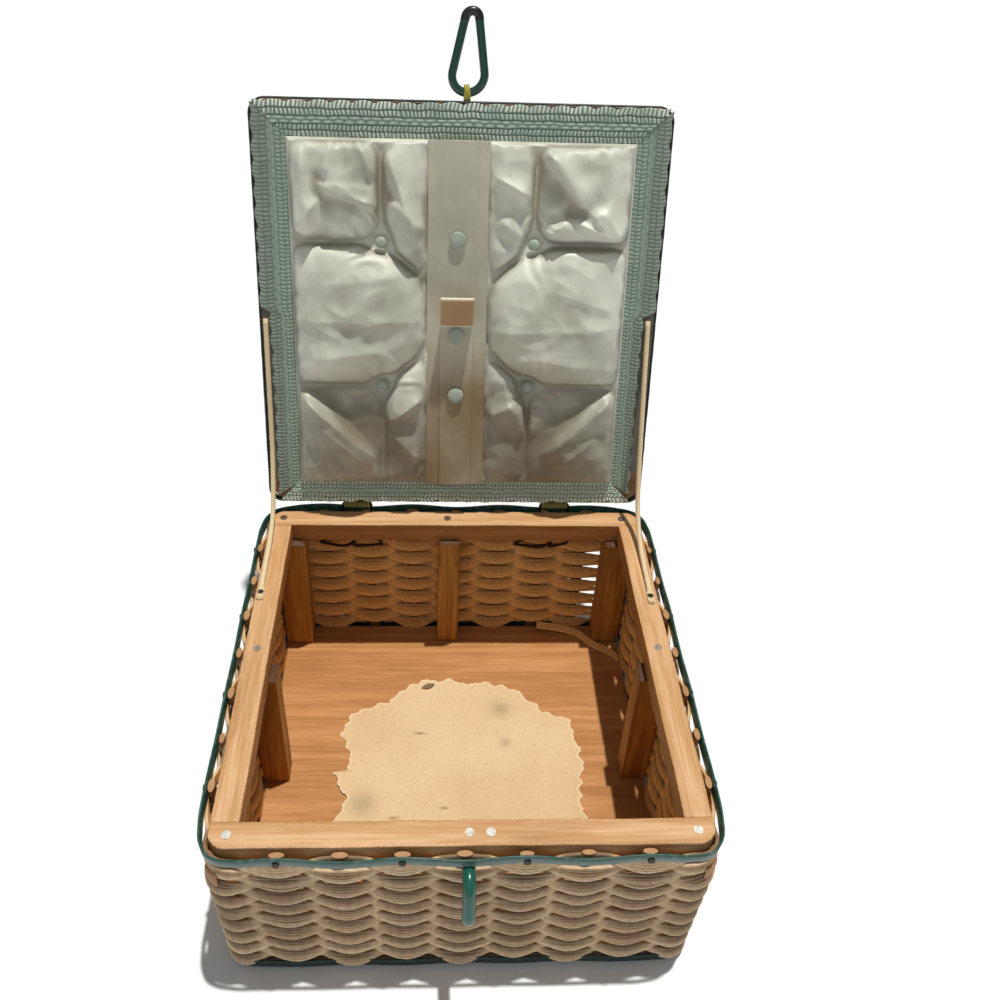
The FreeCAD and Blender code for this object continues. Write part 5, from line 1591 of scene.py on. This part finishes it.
# Lines across the lower corners below which the filling is slack, with the side that is slack
SLACK_LINES = ((1, (-101.0, 78.0, -45.0, 20.0)), (-1, (101.0, 80.0, 44.0, 22.0)))
SLACK_X, SLACK_TOP = (44.0, 52.0), (82.0, 79.0)
FULL_FROM, FULL_TO = (76.0, 86.0), (172.0, 162.0)
# Where the painted warm shade lies: up the lining, and across it.
AGE_UP, AGE_ACROSS = (100.0, 50.0), (105.0, 40.0)
CREASE_BLUR = 8.0
PANEL_BLEND = 5.0
PANEL_ROUND = 7.5


def line_gap(x, s, line):
    """Share along a line, signed distance from it (positive on its left), and distance from its segment."""
    x0, s0, x1, s1 = line
    run = math.hypot(x1 - x0, s1 - s0)
    ux, us = (x1 - x0) / run, (s1 - s0) / run
    share = ((x - x0) * ux + (s - s0) * us) / run
    off = ux * (s - s0) - us * (x - x0)
    return share, off, np.hypot(off, run * (share - np.clip(share, 0, 1)))


def satin_height(x, s, crown):
    """Filled panels rise as 1 - exp(-gap / width), gap being the soft minimum of all distances.

    The folds are ridges on the panels, exp(-distance) on either side; the tufts and the ribbon press them in.
    """
    sides = [LINING_HALF - np.abs(x), s - LINING_LOW, LINING_HIGH - s]
    rim = np.minimum(np.minimum(sides[0], sides[1]), sides[2])
    ribbon = np.maximum(np.maximum(RIBBON_SIDES[0] - x, x - RIBBON_SIDES[1]), 0)
    tufts = [(tx, ts) for tx in TUFTS_X for ts in TUFTS_S]
    gaps = [line_gap(x, s, line)[2] * 1.1 for line in PLEATS] + sides + [ribbon]
    free = np.clip(-PANEL_BLEND * np.log(sum(np.exp(-gap / PANEL_BLEND) for gap in gaps)), 0, None)
    slack = sum(ease(sign * line_gap(x, s, line)[1], 0.0, 9.0) * ease(-sign * x, *SLACK_X)
                for sign, line in SLACK_LINES)
    slack = slack * ease(s, *SLACK_TOP)
    fill = (crown - 7.6) * (1 - 0.75 * slack) + 4.6 * ease(s, *FULL_FROM) * ease(s, *FULL_TO)
    n = 1.6 + 2.6 * ease(rim, 0.0, 2.0) + fill * (1 - np.exp(-free / PANEL_ROUND))
    n = n + 0.5 * ripple(151, 24.0, x, s) * ease(free, 2.0, 16.0)
    for tx, ts in tufts:
        away = np.hypot(x - tx, s - ts)
        turn = np.arctan2(s - ts, x - tx) + 0.5 * ripple(156, 15.0, x, s)
        n = n + 0.45 * np.sin(9 * turn + tx) * np.exp(-((away - 13.0) / 9.0) ** 2) * ease(free, 0.5, 4.0)
    for *line, height, left, right in FOLDS:
        share, off, _ = line_gap(x, s, line)
        side = np.sqrt(off ** 2 + 0.5) / np.where(off > 0, left, right)
        taper = ease(share, -0.08, 0.25) * (1 - ease(share, 0.75, 1.08))
        n = n + 2.8 * height * np.exp(-side) * taper * ease(free, 0.0, 5.0)
    edge = np.minimum(rim, ribbon + 2.0)
    n = n + 0.4 * np.exp(-edge / 7.0) * ripple(153, 5.0, x, s) * ease(edge, 0.5, 2.5)
    tuft = np.min([np.hypot(x - tx, s - ts) for tx, ts in tufts], axis=0)
    n = n - 2.2 * np.exp(-(tuft / 7.0) ** 2) + 0.12 * ripple(154, 6.0, x, s)
    n = n + 0.5 * (0.6 - np.abs(ripple(155, 17.0, x, s))) * ease(free, 2.0, 9.0)
    inside = np.minimum(x - RIBBON_SIDES[0], RIBBON_SIDES[1] - x)
    n = n - 1.0 * ease(inside, -0.3, 1.2)
    return np.clip(n, 1.4, crown + 3.0)


class BASKET_OT_pad_lining(bpy.types.Operator):
    """Pad the lid with tufted satin"""

    bl_idname = "basket.pad_lining"
    bl_label = "Pad lining"

    def execute(self, context):
        """A satin sheet over filling; creases are where it lies below its own height blurred, and they get
        painted shade.
        """
        colours = context.scene.basket_colours
        x = np.linspace(-LINING_HALF, LINING_HALF, LINING_COLUMNS)[None] + np.zeros((LINING_ROWS, 1))
        s = np.linspace(LINING_LOW, LINING_HIGH, LINING_ROWS)[:, None] + np.zeros((1, LINING_COLUMNS))
        n = satin_height(x, s, context.scene.basket_sizes.crown / MM)
        # Painted warm shade, strongest low and towards the middle of the lining.
        age = ease(s, *AGE_UP) * (0.5 + 0.45 * ease(np.abs(x), *AGE_ACROSS))
        waves = np.fft.fftfreq(LINING_ROWS)[:, None] ** 2 + np.fft.rfftfreq(LINING_COLUMNS)[None] ** 2
        soft = np.fft.irfft2(np.fft.rfft2(n) * np.exp(-2.0 * (PI * CREASE_BLUR) ** 2 * waves), n.shape)
        # Painted shade where the satin lies in a crease.
        crease = np.clip((soft - n) / 1.7, 0, 1) * ease(n, 3.0, 5.0)
        shell = Shell().cloth(lid_point(x, s, n), lid_point(x, s, 0.25), wrapped_uv(x, s), age=age,
                              crease=crease)
        cloth = satin("Satin", colours.satin, colours.satin_shade, colours.satin_warm, -1.0)
        piece = shell.build("satin_pad", cloth)
        dress(piece, "lid", "satin", "satin_lining")
        return {"FINISHED"}


RIBBON_HEIGHT, RIBBON_THICK = 4.75, 0.7
RIBBON_WIDE = RIBBON_SIDES[1] - RIBBON_SIDES[0]
RIBBON_SEAMS = ((-11.9, 0.5, 1.0), (8.3, 0.5, 1.0), (6.0, 0.4, 0.7))
STRAP_LEFT, STRAP_WIDE, STRAP_LONG = -11.75, 19.5, 103.5
STRAP_HEIGHT, STRAP_THICK = 5.75, 0.85
TAB_LONG = 23.3
TAB_CREASE = (118.7, 5.6)
TAB_LEAN = math.radians(35.0)
TAB_HEM, TAB_PALE = (0.93, 0.96), (0.91, 0.94)
# Painted warm bounce light fades out up the ribbon and strap between these heights.
RIBBON_AGE = (122.0, 70.0)
SNAP_SPOTS = ((-2.0, 169.9, 4.8), (-2.0, 112.7, 5.8), (-2.0, 75.0, 5.8))
TUFT_SPOTS = [(x, s, 4.2) for x in TUFTS_X for s in TUFTS_S]
BUTTON_RIM = 0.35


class BASKET_OT_sew_ribbon(bpy.types.Operator):
    """Sew the ribbon, the tool strap, its tab and the buttons"""

    bl_idname = "basket.sew_ribbon"
    bl_label = "Sew ribbon"

    def execute(self, context):
        # The third colour is painted warm bounce light, low on the ribbon and strap.
        silk = satin("Ribbon satin", tint("c8c6b2"), tint("a09e8c"), tint("806028"), 1.0)
        self.ribbon(silk)
        self.strap(silk)
        self.tab()
        self.buttons(context.scene.basket_colours)
        return {"FINISHED"}

    def ribbon(self, silk):
        """Flat band down the lining's middle, dented along its seams, its edges wandering a little."""
        u = np.linspace(0, 1, 150)[:, None]
        v = np.linspace(0, 1, 37)[None]
        x, s = RIBBON_SIDES[0] + RIBBON_WIDE * v + 0 * u, LINING_LOW + LINING_LONG * u + 0 * v
        seam = sum(depth * np.exp(-((x - at) / wide) ** 2) for at, wide, depth in RIBBON_SEAMS)
        n = RIBBON_HEIGHT + 0.18 * ripple(161, 26.0, x, s) - 0.4 * seam
        n = n + 0.12 * ripple(162, 5.0, x * 1.5, s * 0.15)
        x = x + 0.35 * ripple(163, 40.0, s) * (2 * v - 1)
        self.sheet("ribbon_satin", x, s, n, RIBBON_THICK, silk, "ribbon_band", (0.036, 0.2105), ["satin_pad"])

    def strap(self, silk):
        """Narrow band on the ribbon, its hems pressed down."""
        u = np.linspace(0, 1, 80)[:, None]
        v = np.linspace(0, 1, 25)[None]
        x, s = STRAP_LEFT + STRAP_WIDE * v + 0 * u, LINING_LOW + STRAP_LONG * u + 0 * v
        hem = np.abs(2 * v - 1) ** 12
        n = STRAP_HEIGHT + 0.1 * ripple(165, 24.0, x, s) - 0.3 * hem
        self.sheet("strap_satin", x, s, n, STRAP_THICK, silk, "tool_strap", (0.0195, 0.1035),
                   ["ribbon_satin"])

    def sheet(self, name, x, s, n, thick, material, node, flat, rests):
        """Build one flat satin piece on the lid, standing for its frame node."""
        # Painted warm bounce light towards the lower end of the piece.
        shell = Shell().cloth(lid_point(x, s, n), lid_point(x, s, n - thick), wrapped_uv(x, s),
                              age=0.95 * ease(s, *RIBBON_AGE))
        piece = dress(shell.build(name, material, sharp=60), "lid", "satin_ribbon", node)

    def tab(self):
        """The strap's free end: a stiff folded tab that stands out from the crease at 35 degrees."""
        u = np.linspace(0, 1, 40)[:, None]
        v = np.linspace(0, 1, 25)[None]
        rise, run_on = math.sin(TAB_LEAN), math.cos(TAB_LEAN)
        run = 0.7 + TAB_LONG * u
        x = STRAP_LEFT + STRAP_WIDE * v + 0 * u
        bow = 0.35 * np.sin(PI * u) - 0.15 * np.abs(2 * v - 1) ** 8
        s = TAB_CREASE[0] + run * run_on - bow * rise
        n = TAB_CREASE[1] + run * rise + bow * run_on
        thick = 0.5 + 0.35 * ease(u, *TAB_HEM)
        top = lid_point(x, s - thick * rise, n + thick * run_on)
        under = lid_point(x, s + 0.2 * rise, n - 0.2 * run_on)
        # The pale third colour is a painted highlight on the tab's lit hem.
        beige = satin("Tab satin", tint("b99a74"), tint("a1825e"), tint("efe6d2"), 1.0)
        shell = Shell().cloth(top, under, wrapped_uv(x, run + 0 * v), age=ease(u, *TAB_PALE) + 0 * v)
        piece = dress(shell.build("tab_satin", beige, sharp=60), "strap_tab", "satin_ribbon", "strap_tab")

    def buttons(self, colours):
        """Covered buttons: a low dome of revolution with a rolled rim and gathered cloth below it."""
        cloth = cover("Button cloth", colours.button, tint("86968a"), 5200.0)
        t = np.linspace(0, 1, 15)[:, None]
        a = 2 * PI * np.arange(28)[None] / 28
        low, high = t / BUTTON_RIM, (t - BUTTON_RIM) / (1 - BUTTON_RIM) * PI / 2
        below = t < BUTTON_RIM
        for name, node, spots, wide, tall in (("snap_covers", "snap_buttons", SNAP_SPOTS, 4.9, 2.6),
                                              ("tuft_covers", "tuft_buttons", TUFT_SPOTS, 3.5, 3.0)):
            r = wide * np.where(below, 0.86 + 0.14 * np.sin(low * PI / 2), np.cos(high) ** 0.75)
            h = tall * np.where(below, low * 0.42, 0.42 + 0.58 * np.sin(high))
            r = np.maximum(r, 0.02) * (1 + 0.02 * np.sin(9 * a) * (t < 0.45))
            shell = Shell()
            for x, s, n in spots:
                dome = lid_point(x + r * np.cos(a), s + r * np.sin(a), n + h + 0 * a)
                shell.grid(dome, round_v=True, caps=True, closed=True)
            dress(shell.build(name, cloth), "lid", "mint_button", node)


# Stage

VIEW = {"lens": 35.863, "shift": (0.021039, -0.023962), "place": (-17.846, -384.536, 528.064),
        "pitch": 0.6544, "yaw": 0.0629, "roll": -0.0453}

# Lights: name, direction towards the light, angle it fills in degrees, strength, colour
LIGHTS = (("Key", (0.106, 0.06, 1.0), 1.2, 3.45, (1.0, 0.96, 0.90)),
          ("Fill", (-0.2, -0.8, 0.6), 70.0, 0.31, (1.0, 0.99, 0.97)))
SKY_COLOUR, SKY_STRENGTH = (1.0, 0.99, 0.97, 1), 0.165
FLOOR_HALF, FLOOR_DROP = 6000, -0.05


def stand(thing, turn, place):
    """Stand a light or camera at a place, the columns of turn being its axes."""
    corner = np.block([[turn, place[:, None]], [np.zeros((1, 3)), np.ones((1, 1))]])
    thing.matrix_world = Matrix(corner.tolist())


class BASKET_OT_stage(bpy.types.Operator):
    """Set floor, lights and camera"""

    bl_idname = "basket.stage"
    bl_label = "Stage"

    def execute(self, context):
        scene = context.scene
        self.floor()
        self.lights(scene)
        scene.view_settings.view_transform = "Standard"
        self.camera(scene)
        return {"FINISHED"}

    def lights(self, scene):
        """Two suns, whose z axes point towards them, and an even sky."""
        for name, way, spread, power, tone in LIGHTS:
            lamp = bpy.data.lights.new(name, "SUN")
            lamp.angle = math.radians(spread)
            lamp.energy = power
            lamp.color = tone
            holder = bpy.data.objects.new(name, lamp)
            scene.collection.objects.link(holder)
            way = unit(np.array(way))
            side = unit(np.cross(UP, way))
            stand(holder, np.stack([side, np.cross(way, side), way], 1), way)
        world = bpy.data.worlds.new("Studio")
        world.use_nodes = True
        sky = world.node_tree.nodes["Background"].inputs
        sky["Color"].default_value = SKY_COLOUR
        sky["Strength"].default_value = SKY_STRENGTH
        scene.world = world

    def floor(self):
        """A wide flat pale sheet, faintly uneven in tone."""
        def wire(g):
            cloud = g.noise(g.place(), 3.0, 2.0)
            return {"Base Color": g.mix(cloud, tint("e4e8ed"), tint("e7ebf0")), "Roughness": 0.9,
                    "Specular IOR Level": 0.1}

        steps = np.linspace(-FLOOR_HALF, FLOOR_HALF, 13)
        x, y = np.meshgrid(steps, steps, indexing="ij")
        sheet = np.stack([x, y, np.full_like(x, FLOOR_DROP)], -1)
        Shell().grid(sheet).build("floor", finish("Pale floor", wire))

    def camera(self, scene):
        """Looks along yaw and pitch, then rolls about its own axis."""
        pitch, yaw, roll = VIEW["pitch"], VIEW["yaw"], VIEW["roll"]
        ahead = np.array([math.sin(yaw) * math.cos(pitch), math.cos(yaw) * math.cos(pitch), -math.sin(pitch)])
        level = np.array([math.cos(yaw), -math.sin(yaw), 0.0])
        below = np.cross(ahead, level)
        right = math.cos(roll) * level + math.sin(roll) * below
        down = -math.sin(roll) * level + math.cos(roll) * below
        lens = bpy.data.cameras.new("Camera")
        lens.lens = VIEW["lens"]
        lens.sensor_width = 36.0
        lens.shift_x, lens.shift_y = VIEW["shift"]
        lens.clip_start = 0.01
        lens.clip_end = 50.0
        camera = bpy.data.objects.new("Camera", lens)
        scene.collection.objects.link(camera)
        stand(camera, np.stack([right, -down, -ahead], 1), np.array(VIEW["place"]) * MM)
        scene.camera = camera


OPERATORS = (
    BASKET_OT_stage, BASKET_OT_hang_stays, BASKET_OT_weave_walls, BASKET_OT_stand_reeds,
    BASKET_OT_bind_strips, BASKET_OT_frame_wood, BASKET_OT_lay_paper, BASKET_OT_drive_nails,
    BASKET_OT_wind_hinges, BASKET_OT_set_clasp, BASKET_OT_weave_lid, BASKET_OT_sew_braid,
    BASKET_OT_pad_lining, BASKET_OT_sew_ribbon,
)


class BASKET_PT_panel(bpy.types.Panel):
    """Lists the basket's steps, sizes and colours"""

    bl_idname = "BASKET_PT_panel"
    bl_label = "Sewing basket"
    bl_space_type = "VIEW_3D"
    bl_region_type = "UI"
    bl_category = "Basket"

    def draw(self, context):
        for operator in OPERATORS:
            self.layout.operator(operator.bl_idname)
        for group in (context.scene.basket_sizes, context.scene.basket_colours):
            for key in group.__annotations__:
                self.layout.prop(group, key)


CLASSES = (BasketSizes, BasketColours, *OPERATORS, BASKET_PT_panel)


def register():
    for item in CLASSES:
        bpy.utils.register_class(item)
    bpy.types.Scene.basket_sizes = bpy.props.PointerProperty(type=BasketSizes)
    bpy.types.Scene.basket_colours = bpy.props.PointerProperty(type=BasketColours)


def unregister():
    del bpy.types.Scene.basket_sizes
    del bpy.types.Scene.basket_colours
    for item in reversed(CLASSES):
        bpy.utils.unregister_class(item)


def main():
    register()
    for operator in OPERATORS:
        group, name = operator.bl_idname.split(".")
        getattr(getattr(bpy.ops, group), name)()


if __name__ == "__main__":
    main()
